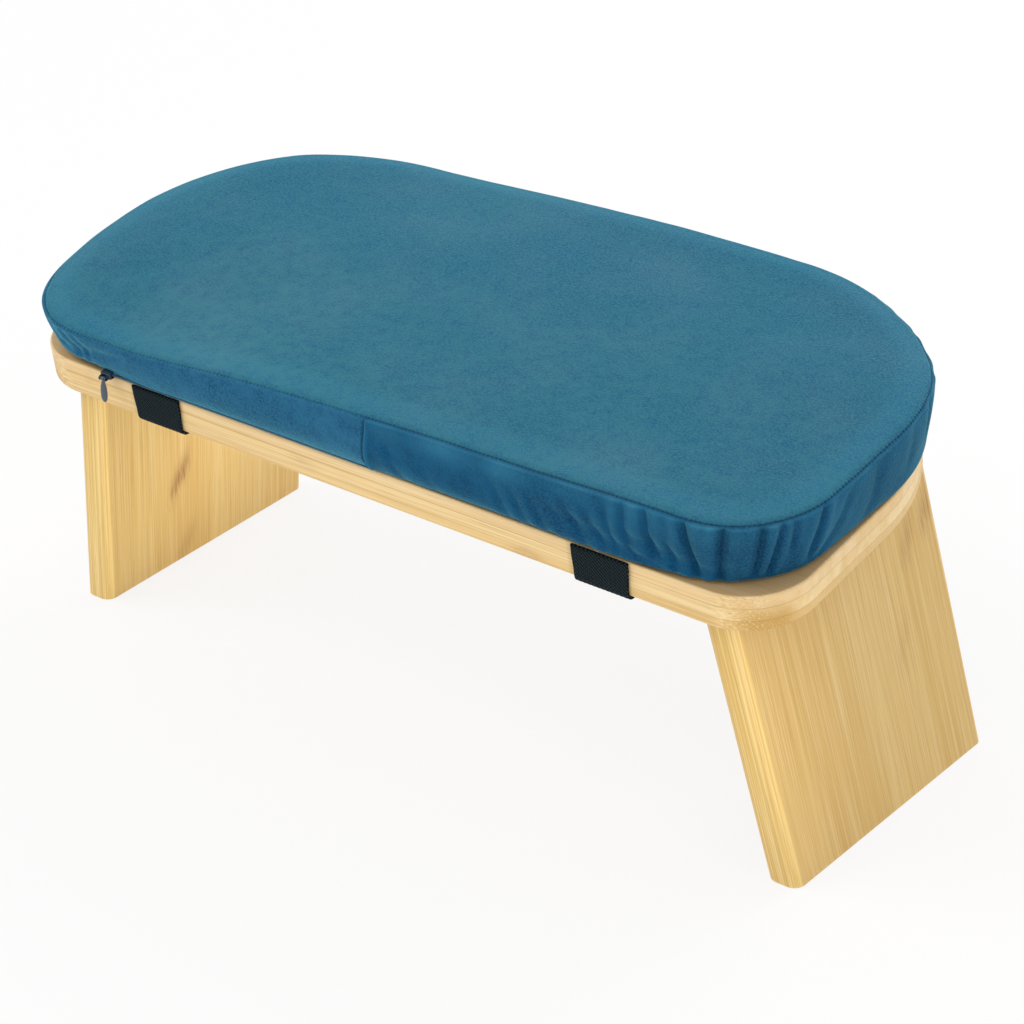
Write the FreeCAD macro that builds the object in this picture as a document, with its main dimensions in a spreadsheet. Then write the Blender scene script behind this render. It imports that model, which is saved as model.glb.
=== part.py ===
import FreeCAD, Part
import math
import os
import Sketcher

# Folding meditation bench: a tilted bamboo seat on two splayed legs that fold in under it,
# with a strapped-on velvet cushion. Lengths in mm, angles in degrees.
# Seat frame: X along the seat, Y from the front edge to the rear, Z up from the seat's underside.

os.makedirs("parts", exist_ok=True)
doc = FreeCAD.newDocument("meditation_bench")
Vector = FreeCAD.Vector
Rotation = FreeCAD.Rotation
Placement = FreeCAD.Placement

SIZES = [
    # seat board
    ("seat_length", 460.0),
    ("seat_depth", 212.0),
    ("seat_thickness", 20.0),
    ("front_corner_radius", 34.0),
    ("rear_corner_radius", 116.0),
    ("board_lower_round", 3.0),
    ("board_upper_round", 1.5),
    ("seat_tilt", 8.5),
    ("seat_height", 159.1),
    # legs
    ("leg_depth", 166.0),
    ("leg_thickness", 17.5),
    ("leg_front_inset", 7.0),
    ("leg_end_inset", 26.5),
    ("leg_splay", 11.0),
    ("leg_edge_round", 6.0),
    ("leg_top_gap", 0.3),
    # butt hinges
    ("hinge_width", 40.0),
    ("hinge_leaf_length", 22.0),
    ("hinge_leaf_thickness", 1.2),
    ("hinge_barrel_radius", 2.9),
    ("hinge_running_gap", 0.3),
    ("hinge_pin_radius", 1.25),
    ("hinge_pin_clearance", 0.05),
    ("hinge_pin_bevel", 0.3),
    ("front_hinge_inset", 45.0),
    ("rear_hinge_inset", 35.0),
    # countersunk screws of the hinges
    ("screw_shank_radius", 1.4),
    ("screw_head_radius", 2.75),
    ("screw_length", 12.0),
    ("screw_pitch", 24.0),
    ("screw_reach", 13.0),
    ("screw_clearance", 0.05),
    ("pilot_hole_extra_depth", 1.0),
    # cushion
    ("cushion_overhang", 4.0),
    ("cushion_base_draw", 3.0),
    ("cushion_front_corner_radius", 50.0),
    ("cushion_side_height", 31.0),
    ("cushion_crown", 6.0),
    ("cushion_bottom_round", 5.0),
    ("cushion_waist", 0.8),
    ("cushion_left_sag", 3.0),
    ("cushion_seat_gap", 0.3),
    ("cover_thickness", 1.2),
    ("foam_clearance", 0.3),
    # elastic straps
    ("strap_width", 32.0),
    ("strap_thickness", 1.6),
    ("left_strap_end_inset", 79.0),
    ("right_strap_end_inset", 75.5),
    ("strap_gap", 0.2),
    ("strap_end_drop", 0.2),
    # zip
    ("zip_end_inset", 61.5),
    ("zip_length", 176.5),
    ("zip_coil_size", 1.6),
    ("zip_coil_lift", 2.0),
    ("zip_coil_gap", 0.25),
    ("slider_length", 7.0),
    ("slider_wall", 0.6),
    ("slider_front_thickness", 1.8),
    ("slider_running_gap", 0.3),
    ("slider_ear_length", 3.0),
    ("slider_ear_thickness", 0.8),
    ("pull_length", 14.6),
    ("pull_width", 4.6),
    ("pull_thickness", 1.4),
    ("pull_eye_radius", 1.15),
    ("pull_eye_width", 2.2),
    ("pull_pin_radius", 0.5),
    ("pull_pin_clearance", 0.08),
]

DERIVED = [
    ("leg_mid_y", "=leg_front_inset + (leg_depth - seat_depth) / 2"),
    ("leg_outer_x", "=seat_length / 2 - leg_end_inset"),
    ("leg_width_level", "=leg_thickness / cos(leg_splay)"),
    ("leg_blank_drop", "=(seat_height + leg_depth * sin(seat_tilt)) / cos(seat_tilt) + leg_thickness"),
    ("hinge_drop", "=hinge_barrel_radius + hinge_running_gap"),
    ("hinge_axis_x", "=leg_outer_x - leg_width_level - hinge_drop * (1 - sin(leg_splay)) / cos(leg_splay)"),
    ("front_hinge_y", "=leg_mid_y - leg_depth / 2 + front_hinge_inset"),
    ("rear_hinge_y", "=leg_mid_y + leg_depth / 2 - rear_hinge_inset"),
    ("knuckle_length", "=hinge_width / 5 - hinge_running_gap"),
    ("cushion_base_z", "=seat_thickness + cushion_seat_gap"),
    ("left_strap_middle_x", "=left_strap_end_inset + strap_width / 2 - seat_length / 2"),
    ("right_strap_middle_x", "=seat_length / 2 - right_strap_end_inset - strap_width / 2"),
    ("zip_start_x", "=zip_end_inset - seat_length / 2"),
    ("band_seam_x", "=zip_start_x + zip_length"),
]

sheet = doc.addObject("Spreadsheet::Sheet", "Sizes")
for row, (name, value) in enumerate(SIZES + DERIVED, start=1):
    sheet.set("A%d" % row, name)
    sheet.set("B%d" % row, str(value))
    sheet.setAlias("B%d" % row, name)
doc.recompute()


def size(name):
    value = sheet.get(name)
    return float(getattr(value, "Value", value))


def bind(obj, prop, expression):
    """Ties a property to an expression in the sheet's names."""
    words = expression
    for name in sorted([n for n, _ in SIZES + DERIVED], key=len, reverse=True):
        words = replace_word(words, name, "Sizes." + name)
    obj.setExpression(prop, words)


def replace_word(text, word, new):
    out = ""
    i = 0
    while i < len(text):
        before = text[i - 1] if i else " "
        after = text[i + len(word)] if i + len(word) < len(text) else " "
        whole = not (before.isalnum() or before in "_.") and not (after.isalnum() or after == "_")
        if text.startswith(word, i) and whole:
            out += new
            i += len(word)
        else:
            out += text[i]
            i += 1
    return out


# Part primitives and booleans


def box(name, lengths, corner):
    obj = doc.addObject("Part::Box", name)
    for prop, expression in zip(("Length", "Width", "Height"), lengths):
        bind(obj, prop, expression)
    for axis, expression in zip("xyz", corner):
        bind(obj, "Placement.Base." + axis, expression)
    return obj


def round_bar(name, radius, length, start, direction):
    obj = doc.addObject("Part::Cylinder", name)
    bind(obj, "Radius", radius)
    bind(obj, "Height", length)
    obj.Placement = Placement(Vector(), Rotation(Vector(0, 0, 1), direction))
    for axis, expression in zip("xyz", start):
        bind(obj, "Placement.Base." + axis, expression)
    return obj


def cone(name, radius_1, radius_2, length, start, direction=Vector(0, 0, 1)):
    obj = doc.addObject("Part::Cone", name)
    obj.Placement = Placement(Vector(), Rotation(Vector(0, 0, 1), direction))
    bind(obj, "Radius1", radius_1)
    bind(obj, "Radius2", radius_2)
    bind(obj, "Height", length)
    for axis, expression in zip("xyz", start):
        bind(obj, "Placement.Base." + axis, expression)
    return obj


def fuse(name, shapes):
    obj = doc.addObject("Part::MultiFuse", name)
    obj.Shapes = shapes
    return obj


def cut(name, base, tool):
    obj = doc.addObject("Part::Cut", name)
    obj.Base = base
    obj.Tool = tool
    return obj


# Sketches and bodies


def body_plane(body, role):
    for feature in body.Origin.OriginFeatures:
        if feature.Role == role:
            return feature


def polygon_sketch(body, name, role, points):
    """Closed polygon whose corners are each placed by two sizes."""
    sketch = body.newObject("Sketcher::SketchObject", name)
    sketch.AttachmentSupport = [(body_plane(body, role), "")]
    sketch.MapMode = "FlatFace"
    doc.recompute()
    count = len(points)
    rough = [Vector(40 * math.cos(2 * math.pi * i / count), 40 * math.sin(2 * math.pi * i / count), 0)
             for i in range(count)]
    for i in range(count):
        sketch.addGeometry(Part.LineSegment(rough[i], rough[(i + 1) % count]), False)
    for i in range(count):
        sketch.addConstraint(Sketcher.Constraint("Coincident", i, 2, (i + 1) % count, 1))
    for i, (x_size, y_size) in enumerate(points):
        place_point(sketch, i, 1, x_size, y_size)
    return sketch


def place_point(sketch, geometry, point, x_size, y_size):
    here = sketch.getPoint(geometry, point)
    for kind, expression, value in (("DistanceX", x_size, here.x), ("DistanceY", y_size, here.y)):
        index = sketch.addConstraint(Sketcher.Constraint(kind, -1, 1, geometry, point, value))
        bind(sketch, "Constraints[%d]" % index, expression)


def rounded_board_sketch(body, name):
    """Outline of the seat board: straight front, large round rear corners."""
    sketch = body.newObject("Sketcher::SketchObject", name)
    sketch.AttachmentSupport = [(body_plane(body, "XY_Plane"), "")]
    sketch.MapMode = "FlatFace"
    doc.recompute()
    hx = size("seat_length") / 2
    hy = size("seat_depth") / 2
    r1 = size("front_corner_radius")
    r2 = size("rear_corner_radius")
    corners = [(hx - r1, -hy + r1, r1, -90), (hx - r2, hy - r2, r2, 0),
               (-hx + r2, hy - r2, r2, 90), (-hx + r1, -hy + r1, r1, 180)]
    lines = [((-hx + r1, -hy), (hx - r1, -hy)), ((hx, -hy + r1), (hx, hy - r2)),
             ((hx - r2, hy), (-hx + r2, hy)), ((-hx, hy - r2), (-hx, -hy + r1))]
    for (x1, y1), (x2, y2) in lines:
        sketch.addGeometry(Part.LineSegment(Vector(x1, y1, 0), Vector(x2, y2, 0)), False)
    for cx, cy, radius, start in corners:
        circle = Part.Circle(Vector(cx, cy, 0), Vector(0, 0, 1), radius)
        sketch.addGeometry(Part.ArcOfCircle(circle, math.radians(start), math.radians(start + 90)), False)
    for i in range(4):
        sketch.addConstraint(Sketcher.Constraint("Tangent", i, 2, 4 + i, 1))
        sketch.addConstraint(Sketcher.Constraint("Tangent", 4 + i, 2, (i + 1) % 4, 1))
    sketch.addConstraint(Sketcher.Constraint("Horizontal", 0))
    sketch.addConstraint(Sketcher.Constraint("Vertical", 1))
    sketch.addConstraint(Sketcher.Constraint("Equal", 4, 7))
    sketch.addConstraint(Sketcher.Constraint("Equal", 5, 6))
    for kind, data, value, expression in (
            ("Radius", (4,), r1, "front_corner_radius"),
            ("Radius", (5,), r2, "rear_corner_radius"),
            ("DistanceX", (-1, 1, 1, 1), hx, "seat_length / 2"),
            ("DistanceX", (3, 1, -1, 1), hx, "seat_length / 2"),
            ("DistanceY", (0, 1, -1, 1), hy, "seat_depth / 2"),
            ("DistanceY", (-1, 1, 2, 1), hy, "seat_depth / 2")):
        index = sketch.addConstraint(Sketcher.Constraint(kind, *data, value))
        bind(sketch, "Constraints[%d]" % index, expression)
    return sketch


def pad(body, name, sketch, length, midplane=False):
    feature = body.newObject("PartDesign::Pad", name)
    feature.Profile = sketch
    bind(feature, "Length", length)
    feature.Midplane = midplane
    doc.recompute()
    return feature


def round_edges(body, name, base, radius, wanted):
    names = ["Edge%d" % (i + 1) for i, edge in enumerate(base.Shape.Edges) if wanted(edge)]
    feature = body.newObject("PartDesign::Fillet", name)
    feature.Base = (base, names)
    bind(feature, "Radius", radius)
    doc.recompute()
    return feature


# Seat board


def make_seat_board():
    body = doc.addObject("PartDesign::Body", "seat_board_body")
    outline = rounded_board_sketch(body, "seat_outline")
    board = pad(body, "seat_pad", outline, "seat_thickness")
    top = size("seat_thickness")
    lower = round_edges(body, "seat_lower_round", board, "board_lower_round",
                        lambda e: e.BoundBox.ZMax < 1e-6)
    round_edges(body, "seat_upper_round", lower, "board_upper_round",
                lambda e: e.BoundBox.ZMin > top - 1e-6)
    holes = []
    for side, sign in (("left", "-"), ("right", "")):
        for end in ("front", "rear"):
            for step, half in (("a", "-"), ("b", "+")):
                name = "%s_%s_seat_pilot_%s" % (side, end, step)
                x_size = "%s(hinge_axis_x - screw_reach)" % sign
                y_size = "%s_hinge_y %s screw_pitch / 2" % (end, half)
                holes.append(round_bar(name, "screw_shank_radius + screw_clearance",
                                       "screw_length + pilot_hole_extra_depth",
                                       (x_size, y_size, "0"), Vector(0, 0, 1)))
    return cut("seat_board", body, fuse("seat_pilot_holes", holes))


# Legs


def make_leg(side):
    sign = "-" if side == "left" else ""
    body = doc.addObject("PartDesign::Body", side + "_leg_body")
    slope = "tan(leg_splay)"
    outer = "leg_outer_x + %s * " + slope
    inner = "leg_outer_x - leg_width_level + %s * " + slope
    corners = [("%s(%s)" % (sign, outer % "leg_top_gap"), "-leg_top_gap"),
               ("%s(%s)" % (sign, inner % "leg_top_gap"), "-leg_top_gap"),
               ("%s(%s)" % (sign, inner % "leg_blank_drop"), "-leg_blank_drop"),
               ("%s(%s)" % (sign, outer % "leg_blank_drop"), "-leg_blank_drop")]
    profile = polygon_sketch(body, side + "_leg_profile", "XZ_Plane", corners)
    blank = pad(body, side + "_leg_pad", profile, "leg_depth", midplane=True)
    half = size("leg_depth") / 2
    rounded = round_edges(body, side + "_leg_round", blank, "leg_edge_round",
                          lambda e: abs(abs(e.CenterOfMass.y) - half) < 1e-6 and e.BoundBox.ZLength > half)
    floor = polygon_sketch(body, side + "_leg_floor_line", "YZ_Plane", [
        ("-leg_depth", "-(seat_height + (leg_mid_y - leg_depth) * sin(seat_tilt)) / cos(seat_tilt)"),
        ("leg_depth", "-(seat_height + (leg_mid_y + leg_depth) * sin(seat_tilt)) / cos(seat_tilt)"),
        ("leg_depth", "-2 * leg_blank_drop"),
        ("-leg_depth", "-2 * leg_blank_drop")])
    foot = body.newObject("PartDesign::Pocket", side + "_leg_foot_cut")
    foot.Profile = floor
    foot.Type = "Length"
    bind(foot, "Length", "2 * seat_length")
    foot.Midplane = True
    doc.recompute()
    if foot.Shape.Volume >= rounded.Shape.Volume:
        raise ValueError("the foot cut of the %s leg removed nothing" % side)
    holes = []
    for end in ("front", "rear"):
        for step, half_pitch in (("a", "-"), ("b", "+")):
            name = "%s_%s_leg_pilot_%s" % (side, end, step)
            hole = round_bar(name, "screw_shank_radius + screw_clearance",
                             "screw_length + pilot_hole_extra_depth", ("0", "0", "0"), Vector(0, 0, 1))
            for axis in "xyz":
                hole.setExpression("Placement.Base." + axis, None)
            along = size("screw_pitch") / 2 * (-1 if half_pitch == "-" else 1)
            frame = leaf_frame(side, end, "leg")
            local = Placement(Vector(-size("screw_reach"), along, size("hinge_drop")), Rotation())
            shift = Placement(Vector(0, -size("leg_mid_y"), 0), Rotation())
            hole.Placement = shift.multiply(frame.multiply(local))
            holes.append(hole)
    return cut(side + "_leg", body, fuse(side + "_leg_pilot_holes", holes))


# Hinges


def leaf_frame(side, end, leaf):
    """Frame of a hinge leaf in the seat frame: Y on the pin, -X along the leaf, +Z to the wood."""
    turn = Rotation(Vector(0, 0, 1), 180 if side == "left" else 0)
    sign = -1 if side == "left" else 1
    where = Vector(sign * size("hinge_axis_x"), size(end + "_hinge_y"), -size("hinge_drop"))
    frame = Placement(where, turn)
    if leaf == "leg":
        s = math.sin(math.radians(size("leg_splay")))
        c = math.cos(math.radians(size("leg_splay")))
        tilt = FreeCAD.Matrix(-s, 0, c, 0,
                              0, -1, 0, 0,
                              c, 0, s, 0,
                              0, 0, 0, 1)
        frame = frame.multiply(Placement(tilt))
    return frame


def make_leaf(name, knuckles):
    """One hinge leaf with its knuckles, pin bore and countersunk screw holes."""
    pieces = [box(name + "_plate",
                  ("hinge_leaf_length - hinge_drop", "hinge_width", "hinge_leaf_thickness"),
                  ("-hinge_leaf_length", "-hinge_width / 2", "hinge_drop - hinge_leaf_thickness"))]
    for i in knuckles:
        start = "(%d - 2.5) * hinge_width / 5 + hinge_running_gap / 2" % i
        pieces.append(round_bar("%s_knuckle_%d" % (name, i), "hinge_barrel_radius", "knuckle_length",
                                ("0", start, "0"), Vector(0, 1, 0)))
        pieces.append(box("%s_finger_%d" % (name, i),
                          ("hinge_drop + hinge_leaf_thickness", "knuckle_length", "hinge_leaf_thickness"),
                          ("-hinge_drop - hinge_leaf_thickness", start, "hinge_drop - hinge_leaf_thickness")))
    tools = [round_bar(name + "_pin_bore", "hinge_pin_radius + hinge_pin_clearance", "hinge_width * 2",
                       ("0", "-hinge_width", "0"), Vector(0, 1, 0))]
    for step, half_pitch in (("a", "-"), ("b", "")):
        tools.append(cone("%s_countersink_%s" % (name, step),
                          "screw_head_radius + screw_clearance", "screw_shank_radius + screw_clearance",
                          "hinge_leaf_thickness",
                          ("-screw_reach", half_pitch + "screw_pitch / 2",
                           "hinge_drop - hinge_leaf_thickness")))
    return cut(name, fuse(name + "_solid", pieces), fuse(name + "_holes", tools))


def make_leaf_screws(name):
    """The two screws of a leaf: flat heads flush with the leaf, shanks in the wood."""
    pieces = []
    for step, half_pitch in (("a", "-"), ("b", "")):
        here = ("-screw_reach", half_pitch + "screw_pitch / 2")
        pieces.append(cone("%s_head_%s" % (name, step), "screw_head_radius", "screw_shank_radius",
                           "hinge_leaf_thickness", here + ("hinge_drop - hinge_leaf_thickness",)))
        pieces.append(round_bar("%s_shank_%s" % (name, step), "screw_shank_radius", "screw_length",
                                here + ("hinge_drop",), Vector(0, 0, 1)))
    return fuse(name, pieces)


def make_hinge_pin(name):
    """Plain pin with a small bevel at each end."""
    rod = round_bar(name + "_rod", "hinge_pin_radius", "hinge_width - 2 * hinge_pin_bevel",
                    ("0", "-hinge_width / 2 + hinge_pin_bevel", "0"), Vector(0, 1, 0))
    ends = []
    for step, start, turn in (("front", "-", Vector(0, 1, 0)), ("rear", "", Vector(0, -1, 0))):
        end = cone("%s_%s_bevel" % (name, step), "hinge_pin_radius - hinge_pin_bevel", "hinge_pin_radius",
                   "hinge_pin_bevel", ("0", start + "hinge_width / 2", "0"), turn)
        ends.append(end)
    return fuse(name, [rod] + ends)


# Cushion: outlines like the board's, drawn in or scaled level by level


def outline_wire(half_length, front, rear, front_radius, rear_radius, z):
    """Closed outline of straight lines and quarter arcs at one level."""
    corners = [(half_length - front_radius, front + front_radius, front_radius, -90),
               (half_length - rear_radius, rear - rear_radius, rear_radius, 0),
               (-half_length + rear_radius, rear - rear_radius, rear_radius, 90),
               (-half_length + front_radius, front + front_radius, front_radius, 180)]
    arcs = []
    for cx, cy, radius, start in corners:
        points = [Vector(cx + radius * math.cos(math.radians(start + turn)),
                         cy + radius * math.sin(math.radians(start + turn)), z) for turn in (0, 45, 90)]
        arcs.append(Part.Arc(*points))
    edges = []
    for i, arc in enumerate(arcs):
        following = arcs[(i + 1) % 4]
        edges.append(arc.toShape())
        edges.append(Part.makeLine(arc.EndPoint, following.StartPoint))
    return Part.Wire(edges)


def cushion_wire(inset, z, scale=1.0):
    over = size("cushion_overhang")
    half_length = (size("seat_length") / 2 + over) * scale - inset
    half_depth = (size("seat_depth") / 2 + over) * scale - inset
    front_radius = max(size("cushion_front_corner_radius") * scale - inset, 1.0)
    rear_radius = max((size("rear_corner_radius") + over) * scale - inset, 1.0)
    wire = outline_wire(half_length, -half_depth, half_depth, front_radius, rear_radius,
                        size("cushion_base_z") + z)
    rise = size("cushion_left_sag") * z / size("cushion_side_height")
    lean = math.degrees(math.atan2(rise, size("seat_length") / 2))
    wire.rotate(Vector(0, 0, size("cushion_base_z") + z), Vector(0, 1, 0), -lean)
    return wire


def side_inset(z):
    """How far the cushion's side stands in from its seams at a height above its base."""
    bottom_round = size("cushion_bottom_round")
    height = size("cushion_side_height")
    inset = size("cushion_base_draw") * max(1 - z / height, 0.0) ** 1.3
    if z < bottom_round:
        inset += bottom_round - math.sqrt(bottom_round ** 2 - (bottom_round - z) ** 2)
    if z > bottom_round:
        part_way = (z - bottom_round) / (height - bottom_round)
        inset += size("cushion_waist") * math.sin(math.pi * part_way) ** 0.7 if part_way < 1 else 0.0
    return inset


def side_levels(low, high):
    bottom_round = size("cushion_bottom_round")
    steps = [low, 0.45 * bottom_round, 0.7 * bottom_round, bottom_round]
    steps += [bottom_round + (high - bottom_round) * k / 8 for k in range(1, 9)]
    return [z for z in steps if low <= z <= high]


DOME_SCALES = [1.0, 0.985, 0.96, 0.92, 0.86, 0.78, 0.66, 0.5, 0.32, 0.14]


def dome_rise(scale):
    """Height of the crown above the top seam where the outline has shrunk to this scale."""
    return size("cushion_crown") * (1 - scale ** 5) ** 0.62 if scale < 1 else 0.0


def loft(wires):
    return Part.makeLoft(wires, True, True)


def side_solid(low, high, inset):
    return loft([cushion_wire(side_inset(z) + inset, z) for z in side_levels(low, high)])


def dome_solid(inset, drop):
    height = size("cushion_side_height")
    wires = [cushion_wire(inset, height)]
    for scale in DOME_SCALES[1:]:
        rise = dome_rise(scale) - drop
        if rise > 0.05:
            wires.append(cushion_wire(inset * scale, height + rise, scale))
    return loft(wires)


def feature(name, shape):
    obj = doc.addObject("Part::Feature", name)
    obj.Shape = shape
    return obj


def make_foam_core():
    skin = size("cover_thickness") + size("foam_clearance")
    height = size("cushion_side_height")
    levels = [z for z in side_levels(skin, height)]
    wires = [cushion_wire(side_inset(z) + skin, z) for z in levels]
    for scale in DOME_SCALES[1:]:
        rise = dome_rise(scale) - skin
        if rise > 0.2:
            wires.append(cushion_wire(skin * scale, height + rise, scale))
    return feature("foam_core", loft(wires))


def make_cover_top_panel():
    return feature("cover_top_panel", dome_solid(0.0, 0.0).cut(
        dome_solid(size("cover_thickness"), size("cover_thickness"))))


def make_cover_bottom_panel():
    skin = size("cover_thickness")
    return feature("cover_bottom_panel", loft([cushion_wire(side_inset(z), z) for z in (0.0, skin / 2, skin)]))


def make_cover_bands():
    skin = size("cover_thickness")
    height = size("cushion_side_height")
    band = side_solid(skin, height, 0.0).cut(side_solid(skin, height, skin))
    seam = size("band_seam_x")
    reach = size("seat_length")
    tall = height + 2 * size("seat_thickness") + size("cushion_seat_gap")
    left_half = Part.makeBox(reach, 2 * reach, tall, Vector(seam - reach, -reach, 0))
    right_half = Part.makeBox(reach, 2 * reach, tall, Vector(seam, -reach, 0))
    return [feature("cover_zip_band", band.common(left_half)),
            feature("cover_gathered_band", band.common(right_half))]


# Elastic straps


def strap_jacket(offset):
    """The board's outline grown by an offset, rounded below as the board is."""
    z = -offset
    wire = outline_wire(size("seat_length") / 2 + offset, -size("seat_depth") / 2 - offset,
                        size("seat_depth") / 2 + offset, size("front_corner_radius") + offset,
                        size("rear_corner_radius") + offset, z)
    solid = Part.Face(wire).extrude(Vector(0, 0, size("seat_thickness") - size("strap_end_drop") + offset))
    low = [edge for edge in solid.Edges if edge.BoundBox.ZMax < z + 1e-6]
    return solid.makeFillet(size("board_lower_round") + offset, low)


def make_strap(side):
    gap = size("strap_gap")
    loop = strap_jacket(gap + size("strap_thickness")).cut(strap_jacket(gap))
    width = size("strap_width")
    reach = size("seat_depth")
    tall = size("seat_thickness") * 3
    start = Vector(size(side + "_strap_middle_x") - width / 2, -reach, -size("seat_thickness"))
    return feature(side + "_strap", loop.common(Part.makeBox(width, 2 * reach, tall, start)))


# Zip


def zip_low():
    return size("cushion_base_z") + size("zip_coil_lift")


def zip_coil_back():
    """Y of the coil's back, clear of the cushion's side at the coil's top."""
    top = size("zip_coil_lift") + size("zip_coil_size")
    return -size("seat_depth") / 2 - size("cushion_overhang") + side_inset(top) - size("zip_coil_gap")


def make_zip_coil():
    coil = size("zip_coil_size")
    start = Vector(size("zip_start_x"), zip_coil_back() - coil, zip_low())
    return feature("zip_coil", Part.makeBox(size("zip_length"), coil, coil, start))


def make_zip_slider():
    """Clip round the coil's front, in a frame at the coil's left end, with two ears for the pull's pin."""
    coil = size("zip_coil_size")
    gap = size("slider_running_gap")
    wall = size("slider_wall")
    length = size("slider_length")
    front = size("slider_front_thickness")
    tall = coil + 2 * gap + 2 * wall
    block = Part.makeBox(length, front + gap + coil / 2, tall, Vector(0, -coil - gap - front, -gap - wall))
    slot = Part.makeBox(length * 3, coil * 3, coil + 2 * gap, Vector(-length, -coil - gap, -gap))
    clip = block.cut(slot)
    ear = size("slider_ear_thickness")
    reach = size("slider_ear_length")
    room = size("pull_eye_width") / 2 + gap
    pivot = slider_pivot()
    for side in (-1, 1):
        x = length / 2 + (room if side > 0 else -room - ear)
        tab = Part.makeBox(ear, reach + wall, reach, Vector(x, pivot.y - reach / 2, pivot.z - reach / 2))
        rod = Part.makeCylinder(size("pull_pin_radius"), ear * 3, Vector(x - ear, pivot.y, pivot.z),
                                Vector(1, 0, 0))
        clip = clip.fuse(tab.cut(rod))
    return feature("zip_slider", clip.removeSplitter())


def slider_pivot():
    """Centre of the pull's pin in the slider's frame."""
    coil = size("zip_coil_size")
    gap = size("slider_running_gap")
    y = -coil - gap - size("slider_front_thickness") - size("slider_ear_length") / 2
    return Vector(size("slider_length") / 2, y, size("pull_pin_radius"))


def make_pull_pin():
    span = size("pull_eye_width") + 2 * size("slider_running_gap") + 2 * size("slider_ear_thickness")
    pivot = slider_pivot()
    start = Vector(pivot.x - span / 2, pivot.y, pivot.z)
    return feature("zip_pull_pin", Part.makeCylinder(size("pull_pin_radius"), span, start, Vector(1, 0, 0)))


def make_zip_pull():
    """Teardrop tab that hangs from its eye; its frame has the pin along X."""
    body = doc.addObject("PartDesign::Body", "zip_pull_tab")
    drop = "(pull_length - pull_width / 2 - pull_eye_radius)"
    neck = "(slider_ear_length / 2 + slider_running_gap)"
    tab = polygon_sketch(body, "zip_pull_outline", "XZ_Plane", [
        ("-pull_eye_width / 2", "0"), ("-pull_eye_width / 2", "-" + neck), ("-pull_width / 2", "-" + drop),
        ("pull_width / 2", "-" + drop), ("pull_eye_width / 2", "-" + neck), ("pull_eye_width / 2", "0")])
    pad(body, "zip_pull_pad", tab, "pull_thickness", midplane=True)
    end = round_bar("zip_pull_end", "pull_width / 2", "pull_thickness",
                    ("0", "-pull_thickness / 2", "-" + drop), Vector(0, 1, 0))
    eye = round_bar("zip_pull_eye", "pull_eye_radius", "pull_eye_width",
                    ("-pull_eye_width / 2", "0", "0"), Vector(1, 0, 0))
    bore = round_bar("zip_pull_bore", "pull_pin_radius + pull_pin_clearance", "pull_eye_width * 2",
                     ("-pull_eye_width", "0", "0"), Vector(1, 0, 0))
    return cut("zip_pull", fuse("zip_pull_solid", [body, end, eye]), bore)


# Build every piece in its own frame, with that frame's place on the seat

pieces = []


def keep(obj, frame=None):
    obj.Label = obj.Name
    pieces.append((obj, frame or Placement()))


keep(make_seat_board())
for side in ("left", "right"):
    keep(make_leg(side), Placement(Vector(0, size("leg_mid_y"), 0), Rotation()))
for side in ("left", "right"):
    for end in ("front", "rear"):
        hinge = "%s_%s_hinge" % (side, end)
        for leaf, knuckles in (("seat", (0, 2, 4)), ("leg", (1, 3))):
            frame = leaf_frame(side, end, leaf)
            keep(make_leaf("%s_%s_leaf" % (hinge, leaf), knuckles), frame)
            keep(make_leaf_screws("%s_%s_screws" % (hinge, leaf)), frame)
        keep(make_hinge_pin(hinge + "_pin"), leaf_frame(side, end, "seat"))
keep(make_foam_core())
keep(make_cover_top_panel())
for band in make_cover_bands():
    keep(band)
keep(make_cover_bottom_panel())
for side in ("left", "right"):
    keep(make_strap(side))
keep(make_zip_coil())
coil_end = Placement(Vector(size("zip_start_x"), zip_coil_back(), zip_low()),
                     Rotation())
keep(make_zip_slider(), coil_end)
keep(make_pull_pin(), coil_end)
zip_pull = make_zip_pull()
doc.recompute()

# Stand the seat frame on its legs, tilted forward, and centre the whole over the origin

tilt = Rotation(Vector(1, 0, 0), size("seat_tilt"))
seat_frame = Placement(Vector(0, 0, size("seat_height")), tilt)
for obj, frame in pieces:
    obj.Placement = seat_frame.multiply(frame)
pull_point = seat_frame.multVec(coil_end.multVec(slider_pivot()))
zip_pull.Placement = Placement(pull_point, Rotation())
zip_pull.Label = zip_pull.Name
pieces.append((zip_pull, None))
doc.recompute()
whole = FreeCAD.BoundBox()
for obj, frame in pieces:
    whole.add(obj.Shape.optimalBoundingBox(False))
centring = Vector(-(whole.XMin + whole.XMax) / 2, -(whole.YMin + whole.YMax) / 2, -whole.ZMin)
for obj, frame in pieces:
    place = obj.Placement
    place.Base = place.Base + centring
    obj.Placement = place
doc.recompute()

# Check and write the parts

for obj in doc.Objects:
    state = [word for word in obj.State if word in ("Invalid", "Error")]
    if state:
        raise ValueError("%s is %s" % (obj.Name, state))
for obj, frame in pieces:
    shape = obj.Shape
    if shape.isNull() or not shape.isValid() or not shape.Solids:
        raise ValueError("%s has no valid solid" % obj.Label)
    shape.exportStep("parts/%s.step" % obj.Label)
    print("%-34s solids %d  volume %10.1f" % (obj.Label, len(shape.Solids), shape.Volume))

print("whole", whole.XLength, whole.YLength, whole.ZLength, "centring", centring)
for side in ("left", "right"):
    centre = seat_frame.multVec(leaf_frame(side, "front", "seat").Base) + centring
    print("hinge axis point", side, centre)
print("hinge axis direction", tilt.multVec(Vector(0, 1, 0)))
print("zip pull pin", pull_point + centring)
print("slider travel", size("zip_length") - size("slider_length"))
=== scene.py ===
import math
import bmesh
import bpy
import numpy as np
from mathutils import Matrix, Vector


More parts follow.
